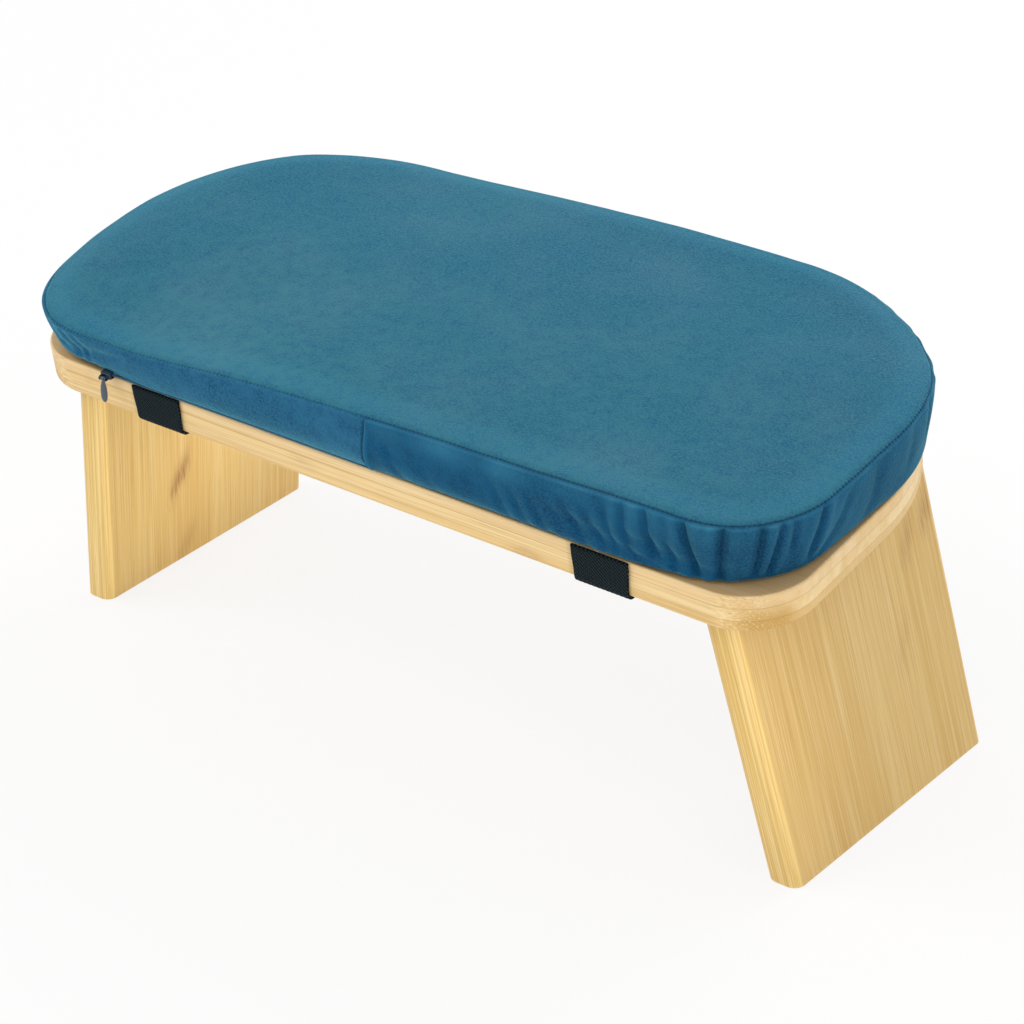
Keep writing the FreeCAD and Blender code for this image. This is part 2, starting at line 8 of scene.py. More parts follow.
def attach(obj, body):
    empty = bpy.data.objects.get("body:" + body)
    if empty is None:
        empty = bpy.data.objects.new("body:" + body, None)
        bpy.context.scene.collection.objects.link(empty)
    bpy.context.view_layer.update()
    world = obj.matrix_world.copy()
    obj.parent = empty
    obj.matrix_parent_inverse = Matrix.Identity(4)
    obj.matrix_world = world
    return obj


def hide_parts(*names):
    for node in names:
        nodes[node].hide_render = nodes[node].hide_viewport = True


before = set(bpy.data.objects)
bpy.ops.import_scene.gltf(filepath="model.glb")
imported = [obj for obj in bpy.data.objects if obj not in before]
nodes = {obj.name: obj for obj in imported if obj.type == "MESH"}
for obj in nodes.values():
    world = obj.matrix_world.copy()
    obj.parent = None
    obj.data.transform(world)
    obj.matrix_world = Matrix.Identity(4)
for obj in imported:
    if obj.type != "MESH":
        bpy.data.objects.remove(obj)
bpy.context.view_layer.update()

# Sizes of the bench. The seat's own frame has X along the seat, Y across it to the rear
# and N up from the underside. Its lengths are in millimetres.

MM = 0.001
seat_length = 460.0
seat_depth = 212.0
seat_thickness = 20.0
rear_corner_radius = 116.0
seat_tilt = math.radians(8.5)
seat_height = 159.1
seat_shift = 5.3045
leg_splay = math.radians(11.0)
leg_thickness = 17.5
leg_end_inset = 26.5
board_lower_round = 3.0

seat_place = Matrix.Translation((0, seat_shift * MM, seat_height * MM)) @ Matrix.Rotation(seat_tilt, 4, "X")


def seat_to_world(points):
    """Millimetres in the seat's frame to metres in the scene."""
    points = np.asarray(points, float) * MM
    turn = np.array(seat_place.to_3x3())
    return points @ turn.T + np.array(seat_place.translation)


def world_to_seat(points):
    """Metres in the scene to millimetres in the seat's frame."""
    back = np.array(seat_place.inverted())
    return (points @ back[:3, :3].T + back[:3, 3]) / MM


def smooth_step(low, high, value):
    """0 below the low value and 1 above the high one, with a smooth rise between them."""
    t = np.clip((np.asarray(value, float) - low) / (high - low), 0.0, 1.0)
    return t * t * (3 - 2 * t)


def bell(value, middle, reach):
    """1 at the middle, with a smooth fall to nearly 0 at twice the reach on either side."""
    return np.exp(-((value - middle) / reach) ** 2)


def new_piece(name, vertices, faces, smooth=True):
    """A visible piece from its corners in metres and its faces."""
    mesh = bpy.data.meshes.new(name)
    mesh.from_pydata([tuple(v) for v in vertices], [], faces)
    mesh.validate()
    if smooth:
        mesh.polygons.foreach_set("use_smooth", [True] * len(mesh.polygons))
    piece = bpy.data.objects.new(name, mesh)
    bpy.context.scene.collection.objects.link(piece)
    return piece


def grid_faces(rows, columns):
    """Faces of a grid that closes on itself along its columns."""
    faces = []
    for r in range(rows - 1):
        for c in range(columns):
            following = (c + 1) % columns
            faces.append((r * columns + c, (r + 1) * columns + c,
                          (r + 1) * columns + following, r * columns + following))
    return faces


def tube(rings):
    """Closed skin over rings of points, with a flat cap at each end."""
    rings = np.asarray(rings, float)
    count, around = rings.shape[:2]
    faces = grid_faces(count, around)
    faces.append(tuple(range(around)))
    faces.append(tuple((count - 1) * around + k for k in reversed(range(around))))
    return rings.reshape(-1, 3), faces


def joined(parts):
    """Vertices and faces of several skins as one."""
    vertices = []
    faces = []
    for part_vertices, part_faces in parts:
        first = len(vertices)
        vertices += [tuple(v) for v in part_vertices]
        faces += [tuple(first + k for k in face) for face in part_faces]
    return vertices, faces


# Camera

focal_length_pixels = 2866.5
picture_width_pixels = 1024.0
sensor_width_mm = 36.0
camera_distance = 1.47674
camera_target = Vector((0.00088, 0.00731 + seat_shift * MM, 0.090))


def make_camera():
    """The camera at the place and with the lens that were fitted to the bench's outlines."""
    yaw = math.radians(37.35)
    pitch = math.radians(28.29)
    roll = math.radians(-0.09)
    back = Vector((math.sin(yaw) * math.cos(pitch), -math.cos(yaw) * math.cos(pitch), math.sin(pitch)))
    right = Vector((math.cos(yaw), math.sin(yaw), 0.0))
    up = back.cross(right)
    right_rolled = math.cos(roll) * right + math.sin(roll) * up
    up_rolled = -math.sin(roll) * right + math.cos(roll) * up
    data = bpy.data.cameras.new("camera")
    data.sensor_width = sensor_width_mm
    data.lens = focal_length_pixels / picture_width_pixels * sensor_width_mm
    camera = bpy.data.objects.new("camera", data)
    bpy.context.scene.collection.objects.link(camera)
    turn = Matrix((right_rolled, up_rolled, back)).transposed()
    camera.matrix_world = Matrix.Translation(camera_target + back * camera_distance) @ turn.to_4x4()
    bpy.context.scene.camera = camera


# Shader building


def fill_sockets(tree, sockets, values):
    """Joins other nodes' outputs to a node's sockets, or writes numbers and colours on them.
    Each socket is called by its label or its number."""
    for label, value in values.items():
        if isinstance(value, bpy.types.NodeSocket):
            tree.links.new(value, sockets[label])
        else:
            sockets[label].default_value = value


def place(tree, kind, links=None, **settings):
    """Adds a node, sets its properties, and fills its sockets with numbers or other nodes' outputs."""
    made = tree.nodes.new("ShaderNode" + kind)
    for key, value in settings.items():
        setattr(made, key, value)
    fill_sockets(tree, made.inputs, links or {})
    return made


def sums(tree, operation, *values):
    """One step of arithmetic on numbers or other nodes' outputs."""
    return place(tree, "Math", dict(enumerate(values)), operation=operation).outputs[0]


def vector_sums(tree, operation, first, second):
    """One step of arithmetic on vectors."""
    return place(tree, "VectorMath", {0: first, 1: second}, operation=operation).outputs[0]


def noise(tree, vector, scale, detail=2.0, roughness=0.5):
    """Cloudy noise from about 0 to 1. The scale is in clouds to the metre."""
    links = {"Vector": vector, "Scale": scale, "Detail": detail, "Roughness": roughness}
    return place(tree, "TexNoise", links).outputs["Fac"]


def ramp(tree, value, low, high, low_out=0.0, high_out=1.0):
    """A smooth rise or fall of the output while the value goes from low to high."""
    links = {"Value": value, "From Min": low, "From Max": high, "To Min": low_out, "To Max": high_out}
    return place(tree, "MapRange", links, interpolation_type="SMOOTHSTEP").outputs["Result"]


def mixed_colour(tree, factor, first, second):
    """The first colour, or the second where the factor is 1. Colours are sockets 6 and 7 of a mix."""
    return place(tree, "Mix", {0: factor, 6: first, 7: second}, data_type="RGBA").outputs[2]


def mixed_shader(tree, factor, first, second):
    """The first shader, or the second where the factor is 1."""
    return place(tree, "MixShader", {0: factor, 1: first, 2: second}).outputs[0]


def rest_position(tree):
    """Where a point of the piece is when nothing has moved, in metres."""
    return place(tree, "TexCoord").outputs["Object"]


def facing_share(tree, facing, direction):
    """How squarely a face looks along a direction or against it, from 0 to 1."""
    links = {0: facing, 1: direction}
    along = place(tree, "VectorMath", links, operation="DOT_PRODUCT").outputs["Value"]
    return sums(tree, "ABSOLUTE", along)


def linear(red, green, blue):
    """A screen colour of 0 to 255 as the linear colour that a shader takes."""
    parts = []
    for part in (red, green, blue):
        share = part / 255.0
        parts.append(share / 12.92 if share <= 0.04045 else ((share + 0.055) / 1.055) ** 2.4)
    return (*parts, 1.0)


def new_group(name, inputs, outputs):
    """A shader group. Inputs are (label, kind, default), outputs are (label, kind)."""
    tree = bpy.data.node_groups.new(name, "ShaderNodeTree")
    for label, kind, default in inputs:
        socket = tree.interface.new_socket(name=label, in_out="INPUT", socket_type="NodeSocket" + kind)
        if default is not None:
            socket.default_value = default
    for label, kind in outputs:
        tree.interface.new_socket(name=label, in_out="OUTPUT", socket_type="NodeSocket" + kind)
    return tree, tree.nodes.new("NodeGroupInput").outputs, tree.nodes.new("NodeGroupOutput").inputs


def use_group(tree, group, links):
    """Puts a shader group in a material, fills its inputs and gives its outputs."""
    return place(tree, "Group", links, node_tree=group).outputs


def make_edge_wear_group():
    """Mask of the rounded and broken edges, rubbed unevenly."""
    tree, given, out = new_group("edge wear", [
        ("Width", "Float", 0.002), ("Unevenness", "Float", 0.5), ("Vector", "Vector", None)],
        [("Mask", "Float")])
    rounded = place(tree, "Bevel", {"Radius": given["Width"]}, samples=4).outputs[0]
    true_normal = place(tree, "NewGeometry").outputs["True Normal"]
    edge = ramp(tree, facing_share(tree, rounded, true_normal), 0.995, 0.86)
    rub = noise(tree, given["Vector"], 90.0, 3.0, 0.6)
    rub = ramp(tree, rub, 0.35, 0.7)
    kept = sums(tree, "MULTIPLY", rub, given["Unevenness"])
    kept = sums(tree, "SUBTRACT", 1.0, kept)
    fill_sockets(tree, out, {"Mask": sums(tree, "MULTIPLY", edge, kept)})
    return tree


def make_dust_group():
    """Mask of the little dust that settles on faces that look up."""
    tree, given, out = new_group("settled dust", [
        ("Amount", "Float", 0.1), ("Vector", "Vector", None)], [("Mask", "Float")])
    normal = place(tree, "NewGeometry").outputs["Normal"]
    upward = place(tree, "SeparateXYZ", {0: normal}).outputs["Z"]
    upward = ramp(tree, upward, 0.3, 1.0)
    patch = ramp(tree, noise(tree, given["Vector"], 14.0, 4.0, 0.6), 0.35, 0.75)
    speck = ramp(tree, noise(tree, given["Vector"], 900.0, 1.0), 0.62, 0.72)
    both = sums(tree, "MULTIPLY_ADD", speck, 0.6, patch)
    mask = sums(tree, "MULTIPLY", sums(tree, "MULTIPLY", both, upward), given["Amount"])
    fill_sockets(tree, out, {"Mask": mask})
    return tree


def make_fibre_group():
    """Long fibres that run along X: broad streaks, fine lines and short dark pores."""
    tree, given, out = new_group("bamboo fibre", [
        ("Vector", "Vector", None), ("Fibre Length", "Float", 0.06), ("Fibre Width", "Float", 0.0007)],
        [("Streaks", "Float"), ("Fibres", "Float"), ("Pores", "Float")])
    parts = place(tree, "SeparateXYZ", {0: given["Vector"]}).outputs
    along = sums(tree, "DIVIDE", parts["X"], given["Fibre Length"])
    across = sums(tree, "DIVIDE", parts["Y"], given["Fibre Width"])
    deep = sums(tree, "DIVIDE", parts["Z"], given["Fibre Width"])
    fine = place(tree, "CombineXYZ", {0: along, 1: across, 2: deep}).outputs[0]
    fibres = noise(tree, fine, 1.0, 2.0, 0.6)
    broad = vector_sums(tree, "MULTIPLY", fine, (0.35, 0.16, 0.16))
    streaks = noise(tree, broad, 1.0, 3.0, 0.55)
    dashes = vector_sums(tree, "MULTIPLY", fine, (5.0, 1.7, 1.7))
    pores = ramp(tree, noise(tree, dashes, 1.0, 1.0), 0.64, 0.72)
    fill_sockets(tree, out, {"Streaks": streaks, "Fibres": fibres, "Pores": pores})
    return tree


def make_lamination_group():
    """Strips side by side in plies: a tone for each strip and ply, and the glue lines between them."""
    tree, given, out = new_group("bamboo strips", [
        ("Vector", "Vector", None), ("Strip Width", "Float", 0.02), ("Ply Thickness", "Float", 0.006)],
        [("Tone", "Float"), ("Ply Tone", "Float"), ("Strip Joint", "Float"), ("Ply Joint", "Float")])
    parts = place(tree, "SeparateXYZ", {0: given["Vector"]}).outputs
    plies = sums(tree, "DIVIDE", parts["Z"], given["Ply Thickness"])
    ply = sums(tree, "FLOOR", plies)
    waver = noise(tree, vector_sums(tree, "MULTIPLY", given["Vector"], (9.0, 0.0, 0.0)), 1.0, 1.0)
    strips = sums(tree, "DIVIDE", parts["Y"], given["Strip Width"])
    strips = sums(tree, "MULTIPLY_ADD", ply, 0.37, strips)
    strips = sums(tree, "MULTIPLY_ADD", sums(tree, "SUBTRACT", waver, 0.5), 0.04, strips)
    strip = sums(tree, "FLOOR", strips)
    seed = place(tree, "CombineXYZ", {0: strip, 1: ply, 2: 3.7}).outputs[0]
    chance = place(tree, "TexWhiteNoise", {"Vector": seed}, noise_dimensions="3D").outputs["Value"]
    ply_chance = place(tree, "TexWhiteNoise", {"W": ply}, noise_dimensions="1D").outputs["Value"]
    strip_gap = sums(tree, "ABSOLUTE", sums(tree, "SUBTRACT", sums(tree, "FRACT", strips), 0.5))
    ply_gap = sums(tree, "ABSOLUTE", sums(tree, "SUBTRACT", sums(tree, "FRACT", plies), 0.5))
    fill_sockets(tree, out, {
        "Tone": chance, "Ply Tone": ply_chance,
        "Strip Joint": ramp(tree, strip_gap, 0.485, 0.497), "Ply Joint": ramp(tree, ply_gap, 0.455, 0.49)})
    return tree


def make_cane_node_group():
    """One node of the cane: a brown smudge across a single strip, slanted and frayed along the fibres."""
    tree, given, out = new_group("cane node", [
        ("Vector", "Vector", None), ("Centre", "Vector", None), ("Length", "Float", 0.011),
        ("Width", "Float", 0.009), ("Depth", "Float", 0.004)], [("Mask", "Float")])
    shifted = vector_sums(tree, "SUBTRACT", given["Vector"], given["Centre"])
    stretched = vector_sums(tree, "MULTIPLY", given["Vector"], (70.0, 900.0, 900.0))
    fray = sums(tree, "SUBTRACT", noise(tree, stretched, 1.0, 3.0, 0.65), 0.5)
    parts = place(tree, "SeparateXYZ", {0: shifted}).outputs
    along = sums(tree, "MULTIPLY_ADD", parts["Y"], -1.1, parts["X"])
    along = sums(tree, "MULTIPLY_ADD", fray, 0.017, along)
    along = sums(tree, "DIVIDE", along, given["Length"])
    across = sums(tree, "DIVIDE", parts["Y"], given["Width"])
    deep = sums(tree, "DIVIDE", parts["Z"], given["Depth"])
    spread = sums(tree, "POWER", sums(tree, "ABSOLUTE", across), 4.0)
    spread = sums(tree, "MULTIPLY_ADD", along, along, spread)
    spread = sums(tree, "MULTIPLY_ADD", deep, deep, spread)
    mask = sums(tree, "EXPONENT", sums(tree, "MULTIPLY", spread, -1.4))
    streak = ramp(tree, fray, -0.2, 0.15, 0.25, 1.0)
    fill_sockets(tree, out, {"Mask": sums(tree, "MULTIPLY", mask, streak)})
    return tree


def make_pile_group():
    """Short velvet pile: brushed patches, mottling and the speckle of the single tufts."""
    tree, given, out = new_group("velvet pile", [
        ("Vector", "Vector", None), ("Brushed", "Float", 1.0), ("Tuft", "Float", 0.0007)],
        [("Patches", "Float"), ("Mottle", "Float"), ("Tufts", "Float"), ("Height", "Float")])
    swept = vector_sums(tree, "MULTIPLY", given["Vector"], (6.0, 11.0, 9.0))
    patches = noise(tree, swept, given["Brushed"], 2.0, 0.5)
    mottle = noise(tree, given["Vector"], 150.0, 3.0, 0.6)
    tuft_scale = sums(tree, "DIVIDE", 1.0, given["Tuft"])
    tufts = noise(tree, given["Vector"], tuft_scale, 1.0)
    height = sums(tree, "MULTIPLY_ADD", mottle, 0.6, tufts)
    fill_sockets(tree, out, {"Patches": patches, "Mottle": mottle, "Tufts": tufts, "Height": height})
    return tree


def make_stitch_group():
    """Machine stitches along the top seam of a flat map: the sunk thread and the puckers beside it."""
    tree, given, out = new_group("sewn stitches", [
        ("Vector", "Vector", None), ("Stitch Length", "Float", 0.0024), ("Reach", "Float", 0.0013)],
        [("Stitch", "Float"), ("Pucker", "Float")])
    parts = place(tree, "SeparateXYZ", {0: given["Vector"]}).outputs
    turn = sums(tree, "MULTIPLY", sums(tree, "DIVIDE", parts["X"], given["Stitch Length"]), math.tau)
    wave = sums(tree, "COSINE", turn)
    gap = sums(tree, "DIVIDE", sums(tree, "ABSOLUTE", parts["Y"]), given["Reach"])
    near = ramp(tree, gap, 1.0, 0.15)
    stitch = sums(tree, "MULTIPLY", near, ramp(tree, wave, -0.2, 0.6))
    fill_sockets(tree, out, {"Stitch": stitch, "Pucker": sums(tree, "MULTIPLY", near, wave)})
    return tree


def make_twill_group():
    """Woven twill from a flat map of the cloth: slanted ribs, with the cross threads between them."""
    tree, given, out = new_group("woven twill", [
        ("Vector", "Vector", None), ("Thread", "Float", 0.0009), ("Slant", "Float", 1.0)],
        [("Height", "Float"), ("Gap", "Float")])
    parts = place(tree, "SeparateXYZ", {0: given["Vector"]}).outputs
    across = sums(tree, "DIVIDE", parts["X"], given["Thread"])
    along = sums(tree, "DIVIDE", parts["Y"], given["Thread"])
    slanted = sums(tree, "MULTIPLY_ADD", across, given["Slant"], along)
    rib = sums(tree, "SINE", sums(tree, "MULTIPLY", slanted, math.tau * 0.5))
    cross = sums(tree, "SINE", sums(tree, "MULTIPLY", across, math.tau))
    fuzz = noise(tree, given["Vector"], 2600.0, 2.0)
    height = sums(tree, "MULTIPLY_ADD", cross, 0.35, rib)
    height = sums(tree, "MULTIPLY_ADD", fuzz, 0.5, height)
    gap = ramp(tree, sums(tree, "MULTIPLY_ADD", cross, 0.6, rib), 1.1, 0.0)
    fill_sockets(tree, out, {"Height": height, "Gap": gap})
    return tree


edge_wear = make_edge_wear_group()
settled_dust = make_dust_group()
bamboo_fibre = make_fibre_group()
bamboo_strips = make_lamination_group()
cane_node = make_cane_node_group()
velvet_pile = make_pile_group()
sewn_stitches = make_stitch_group()
woven_twill = make_twill_group()


def new_material(name, sockets):
    """A material with one Principled shader. The sockets' fixed values are written on it."""
    material = bpy.data.materials.new(name)
    material.use_nodes = True
    tree = material.node_tree
    tree.nodes.clear()
    surface = place(tree, "BsdfPrincipled", sockets)
    place(tree, "OutputMaterial", {"Surface": surface.outputs[0]})
    return material, tree, surface.inputs


def rubbed(tree, here, colour, bare, width, unevenness, strength):
    """A colour that is worn towards a bare one along edges of a width in metres, and that wear's mask."""
    worn = use_group(tree, edge_wear, {"Width": width, "Unevenness": unevenness, "Vector": here})["Mask"]
    return mixed_colour(tree, sums(tree, "MULTIPLY", worn, strength), colour, bare), worn


def dusted(tree, here, colour, dust_colour, amount):
    """A colour under a little settled dust, and that dust's mask."""
    dust = use_group(tree, settled_dust, {"Amount": amount, "Vector": here})["Mask"]
    return mixed_colour(tree, dust, colour, dust_colour), dust


def bump(tree, height, strength, depth):
    """Relief of a height pattern. The depth is in metres."""
    return place(tree, "Bump", {"Height": height, "Strength": strength, "Distance": depth}).outputs[0]


def local_position(tree, matrix):
    """Position in the frame of a board, in metres. The matrix is that frame's place at rest."""
    here = rest_position(tree)
    turn = matrix.to_euler("XYZ")
    mapping = place(tree, "Mapping", {"Vector": here}, vector_type="TEXTURE")
    mapping.inputs["Location"].default_value = matrix.translation
    mapping.inputs["Rotation"].default_value = turn
    return mapping.outputs[0]


# Bamboo

fibre_length = 110.0
fibre_width = 0.8
bamboo_roughness = 0.42
seat_strip_width = 21.0
leg_strip_width = 19.5
seat_ply = 6.67
leg_ply = 5.83


def bamboo_ground(tree, here, end_on, edge_shade_mask, tone, ply_tone, ply, light, dark, rosy, low_ply_shade):
    """Bamboo's colour before its lines: strips and warmer plies, and painted shade on the lowest ply, the
    round corners and the long edges.
    """
    colour = mixed_colour(tree, tone, light, dark)
    colour = mixed_colour(tree, sums(tree, "MULTIPLY", ply_tone, rosy), colour, rose_glue)
    level = place(tree, "SeparateXYZ", {0: here}).outputs["Z"]
    ply_top = ply * MM
    # Painted shade: the lowest ply darker, and the round corners darker still towards the bottom.
    lowest = ramp(tree, level, ply_top, ply_top * 0.96, 0.0, low_ply_shade)
    colour = mixed_colour(tree, lowest, colour, shade_honey)
    oblique = sums(tree, "MULTIPLY", ramp(tree, end_on, 0.25, 0.6), ramp(tree, end_on, 0.99, 0.85))
    oblique = sums(tree, "MULTIPLY", oblique, ramp(tree, level, ply_top * 2.7, ply_top * 0.8, 0.3, 2.1))
    colour = mixed_colour(tree, sums(tree, "MULTIPLY", oblique, low_ply_shade), colour, corner_shade_honey)
    # Painted shade on the long edges.
    return mixed_colour(tree, edge_shade_mask, colour, shade_honey)


def make_bamboo(name, board_frame, ply, strip_width, light, dark, lines, rosy, ply_line, low_ply_shade, edge_shade,
                cane_nodes):
    """The ply's thickness and the strip's width are in millimetres. Each cane node is (place along,
    across and through the board, strength). The rest are how strongly these show: the fibre
    lines, the plies' warm tone, the glue lines between the plies, the painted shade on the
    lowest ply and the round corners, and the painted shade on the long edges."""
    material, tree, surface = new_material(name, sockets={
        "Specular IOR Level": 0.4, "Coat Weight": 0.1, "Coat Roughness": 0.35})
    here = local_position(tree, board_frame)
    facing = place(tree, "TexCoord").outputs["Normal"]
    fibres_run = board_frame.to_3x3().col[0]
    strips_run = board_frame.to_3x3().col[1]
    end_on = facing_share(tree, facing, fibres_run)
    side_grain = ramp(tree, end_on, 0.95, 0.45, 0.3, 1.0)
    grain = use_group(tree, bamboo_fibre, {
        "Vector": here, "Fibre Length": fibre_length * MM, "Fibre Width": fibre_width * MM})
    strips = use_group(tree, bamboo_strips, {
        "Vector": here, "Strip Width": strip_width * MM, "Ply Thickness": ply * MM})
    tone = sums(tree, "MULTIPLY_ADD", strips["Tone"], 0.4, sums(tree, "MULTIPLY", grain["Streaks"], 0.95))
    tone = ramp(tree, tone, 0.32, 1.0)
    # Painted shade on the long edges, where the faces look across the strips.
    edge_shade_mask = ramp(tree, facing_share(tree, facing, strips_run), 0.35, 0.95, 0.0, edge_shade)
    colour = bamboo_ground(
        tree, here, end_on, edge_shade_mask, tone, strips["Ply Tone"], ply, light, dark, rosy, low_ply_shade)
    for line_end, strength, line_colour in ((0.34, 0.6, pale_fibre), (0.68, 0.62, dark_fibre)):
        line = ramp(tree, grain["Fibres"], 0.5, line_end, 0.0, strength * lines)
        colour = mixed_colour(tree, sums(tree, "MULTIPLY", line, side_grain), colour, line_colour)
    pores = sums(tree, "MULTIPLY", grain["Pores"], sums(tree, "MULTIPLY", side_grain, 0.22))
    colour = mixed_colour(tree, pores, colour, cane_brown)
    for along, across, through, strength in cane_nodes:
        centre = (along * MM, across * MM, through * MM)
        smudge = use_group(tree, cane_node, {"Vector": here, "Centre": centre})["Mask"]
        colour = mixed_colour(tree, sums(tree, "MULTIPLY", smudge, strength), colour, cane_brown)
    strip_seams = sums(tree, "MULTIPLY", strips["Strip Joint"], sums(tree, "MULTIPLY", side_grain, 0.09))
    seams = sums(tree, "MAXIMUM", strip_seams, sums(tree, "MULTIPLY", strips["Ply Joint"], ply_line))
    colour = mixed_colour(tree, seams, colour, cane_brown)
    colour, worn = rubbed(tree, here, colour, pale_fibre, width=0.0022, unevenness=0.6, strength=0.1)
    colour, dust = dusted(tree, here, colour, wood_dust, amount=0.05)
    rough = sums(tree, "MULTIPLY_ADD", grain["Fibres"], 0.16, bamboo_roughness)
    rough = sums(tree, "MULTIPLY_ADD", worn, -0.06, rough)
    rough = sums(tree, "ADD", rough, dust)
    relief = sums(tree, "MULTIPLY_ADD", pores, -2.5, sums(tree, "MULTIPLY", grain["Fibres"], side_grain))
    relief = sums(tree, "MULTIPLY_ADD", seams, -0.8, relief)
    fill_sockets(tree, surface, {
        "Base Color": colour, "Roughness": rough, "Normal": bump(tree, relief, 0.3, 0.00012)})
    return material


def leg_frame(side):
    """Frame of a leg at rest: X up along the fibres, Y across to the rear, Z out through the thickness."""
    sign = -1 if side == "left" else 1
    up = Vector((-sign * math.sin(leg_splay), 0, math.cos(leg_splay)))
    across = Vector((0, 1, 0))
    out = up.cross(across)
    turn = Matrix((up, across, out)).transposed()
    outer_x = seat_length / 2 - leg_end_inset
    inner = sign * (outer_x - leg_thickness / math.cos(leg_splay))
    start = sign * outer_x if out.x * sign < 0 else inner
    local = Matrix.Translation((start * MM, 0, 0)) @ turn.to_4x4()
    return seat_place @ local


honey_light = linear(246, 218, 140)
honey_dark = linear(228, 189, 102)
# The left leg's colours are lighter than the right leg's: painted light standing in for the bounce that
# lights its inner face.
lit_left_leg_pale = linear(252, 226, 147)
lit_left_leg_deep = linear(237, 199, 110)
straw_light = linear(244, 217, 164)
straw_dark = linear(230, 194, 126)
# Colours of the painted shade on the lowest ply, the long edges and the round corners.
shade_honey = linear(214, 172, 92)
corner_shade_honey = linear(200, 155, 79)
rose_glue = linear(232, 192, 148)
pale_fibre = linear(252, 232, 180)
dark_fibre = linear(196, 154, 84)
cane_brown = linear(158, 108, 50)
wood_dust = linear(225, 221, 212)

seat_bamboo = make_bamboo(
    "seat_bamboo_laminate", seat_place, seat_ply, seat_strip_width, straw_light, straw_dark,
    lines=0.6, rosy=0.3, ply_line=0.4, low_ply_shade=0.45, edge_shade=0.0, cane_nodes=[
        (96, -106, 4, 0.5), (-40, -106, 10, 0.25), (-150, 20, 0, 0.5), (60, -40, 0, 0.45),
        (140, 106, 9, 0.4)])
leg_look = {"lines": 0.68, "rosy": 0.12, "ply_line": 0.3, "low_ply_shade": 0.0, "edge_shade": 0.5}
left_leg_bamboo = make_bamboo(
    "left_leg_bamboo_laminate", leg_frame("left"), leg_ply, leg_strip_width, lit_left_leg_pale, lit_left_leg_deep,
    **leg_look, cane_nodes=[
        (-96, -40, 0, 1.0), (-150, -36, 0, 0.4), (-60, 34, 0, 0.3),
        (-110, 20, leg_thickness, 0.8), (-40, -50, leg_thickness, 0.5)])
right_leg_bamboo = make_bamboo(
    "right_leg_bamboo_laminate", leg_frame("right"), leg_ply, leg_strip_width, honey_light, honey_dark,
    **leg_look, cane_nodes=[
        (-30, 58, 0, 0.55), (-38, 38, 0, 0.4), (-84, 20, 0, 0.2),
        (-90, -30, leg_thickness, 0.8), (-55, 40, leg_thickness, 0.5)])


# Velvet


def make_velvet(name, deep, pale, brushed, sheen, front_painted_light=0.0, middle_painted_light=0.0):
    """Velvet pile: deep where it faces the eye, paler where it is brushed or turns away, and paler
    on the ridges and seam lips where a highlight is painted. Front painted light and middle painted
    light are how much paler the velvet is painted towards the seat's front edge and towards the middle of
    its length."""
    material, tree, surface = new_material(name, sockets={
        "Roughness": 0.95, "Specular IOR Level": 0.12, "Sheen Weight": sheen, "Sheen Roughness": 0.4,
        "Sheen Tint": pile_sheen})
    here = rest_position(tree)
    pile = use_group(tree, velvet_pile, {"Vector": here, "Brushed": brushed, "Tuft": tuft_width * MM})
    turned = sums(tree, "MULTIPLY", ramp(tree, pile["Patches"], 0.3, 0.7), 1.0 - front_painted_light)
    sides = place(tree, "SeparateXYZ", {0: here}).outputs
    # Painted light over the brushed patches: paler towards the seat's front edge and towards the middle of
    # the cushion's length.
    turned = sums(tree, "ADD", turned, ramp(tree, sides["Y"], 0.1, -0.11, 0.0, front_painted_light))
    turned = sums(tree, "ADD", turned, ramp(tree, sides["X"], 0.15, 0.02, 0.0, middle_painted_light))
    colour = mixed_colour(tree, turned, deep, pale)
    mottle = ramp(tree, pile["Mottle"], 0.3, 0.7, 0.0, 0.75)
    colour = mixed_colour(tree, mottle, colour, deep)
    tufts = ramp(tree, pile["Tufts"], 0.35, 0.65, 0.0, 0.85)
    colour = mixed_colour(tree, tufts, colour, pale)
    seam_map = place(tree, "UVMap", uv_map="seam_map").outputs[0]
    stitches = use_group(tree, sewn_stitches, {"Vector": seam_map})
    # Painted highlight on the bands' ridges, seam lips and welt, and along the gathered band near its front
    # seam.
    highlight_share = place(tree, "Attribute", attribute_name="painted_pile_highlight").outputs["Fac"]
    highlight_share = sums(tree, "MULTIPLY", highlight_share, sums(tree, "MULTIPLY_ADD", pile["Mottle"], 0.6, 0.35))
    colour = mixed_colour(tree, highlight_share, colour, highlight_teal)
    # Painted shade along the seams and in the deepest creases, darker still at each stitch.
    seam = place(tree, "Attribute", attribute_name="seam_and_crease_shade").outputs["Fac"]
    seam = sums(tree, "MULTIPLY", seam, sums(tree, "MULTIPLY_ADD", stitches["Stitch"], 0.35, 0.5))
    colour = mixed_colour(tree, seam, colour, seam_shade)
    colour = dusted(tree, here, colour, cloth_dust, amount=0.03)[0]
    height = sums(tree, "MULTIPLY_ADD", stitches["Pucker"], 0.7, pile["Height"])
    fill_sockets(tree, surface, {"Base Color": colour, "Normal": bump(tree, height, 0.6, 0.0005)})
    return material


tuft_width = 1.0
pile_sheen = linear(112, 196, 206)
# The colour of the painted highlight on the velvet's ridges and seam lips.
highlight_teal = linear(66, 142, 172)
seam_shade = linear(8, 38, 60)
cloth_dust = linear(205, 212, 214)

top_velvet = make_velvet(
    "velvet_top_panel", linear(20, 78, 116), linear(49, 110, 127),
    brushed=1.0, sheen=0.55, front_painted_light=0.55)
zip_band_velvet = make_velvet(
    "velvet_zip_band", linear(12, 63, 99), linear(39, 99, 134),
    brushed=2.2, sheen=0.75)
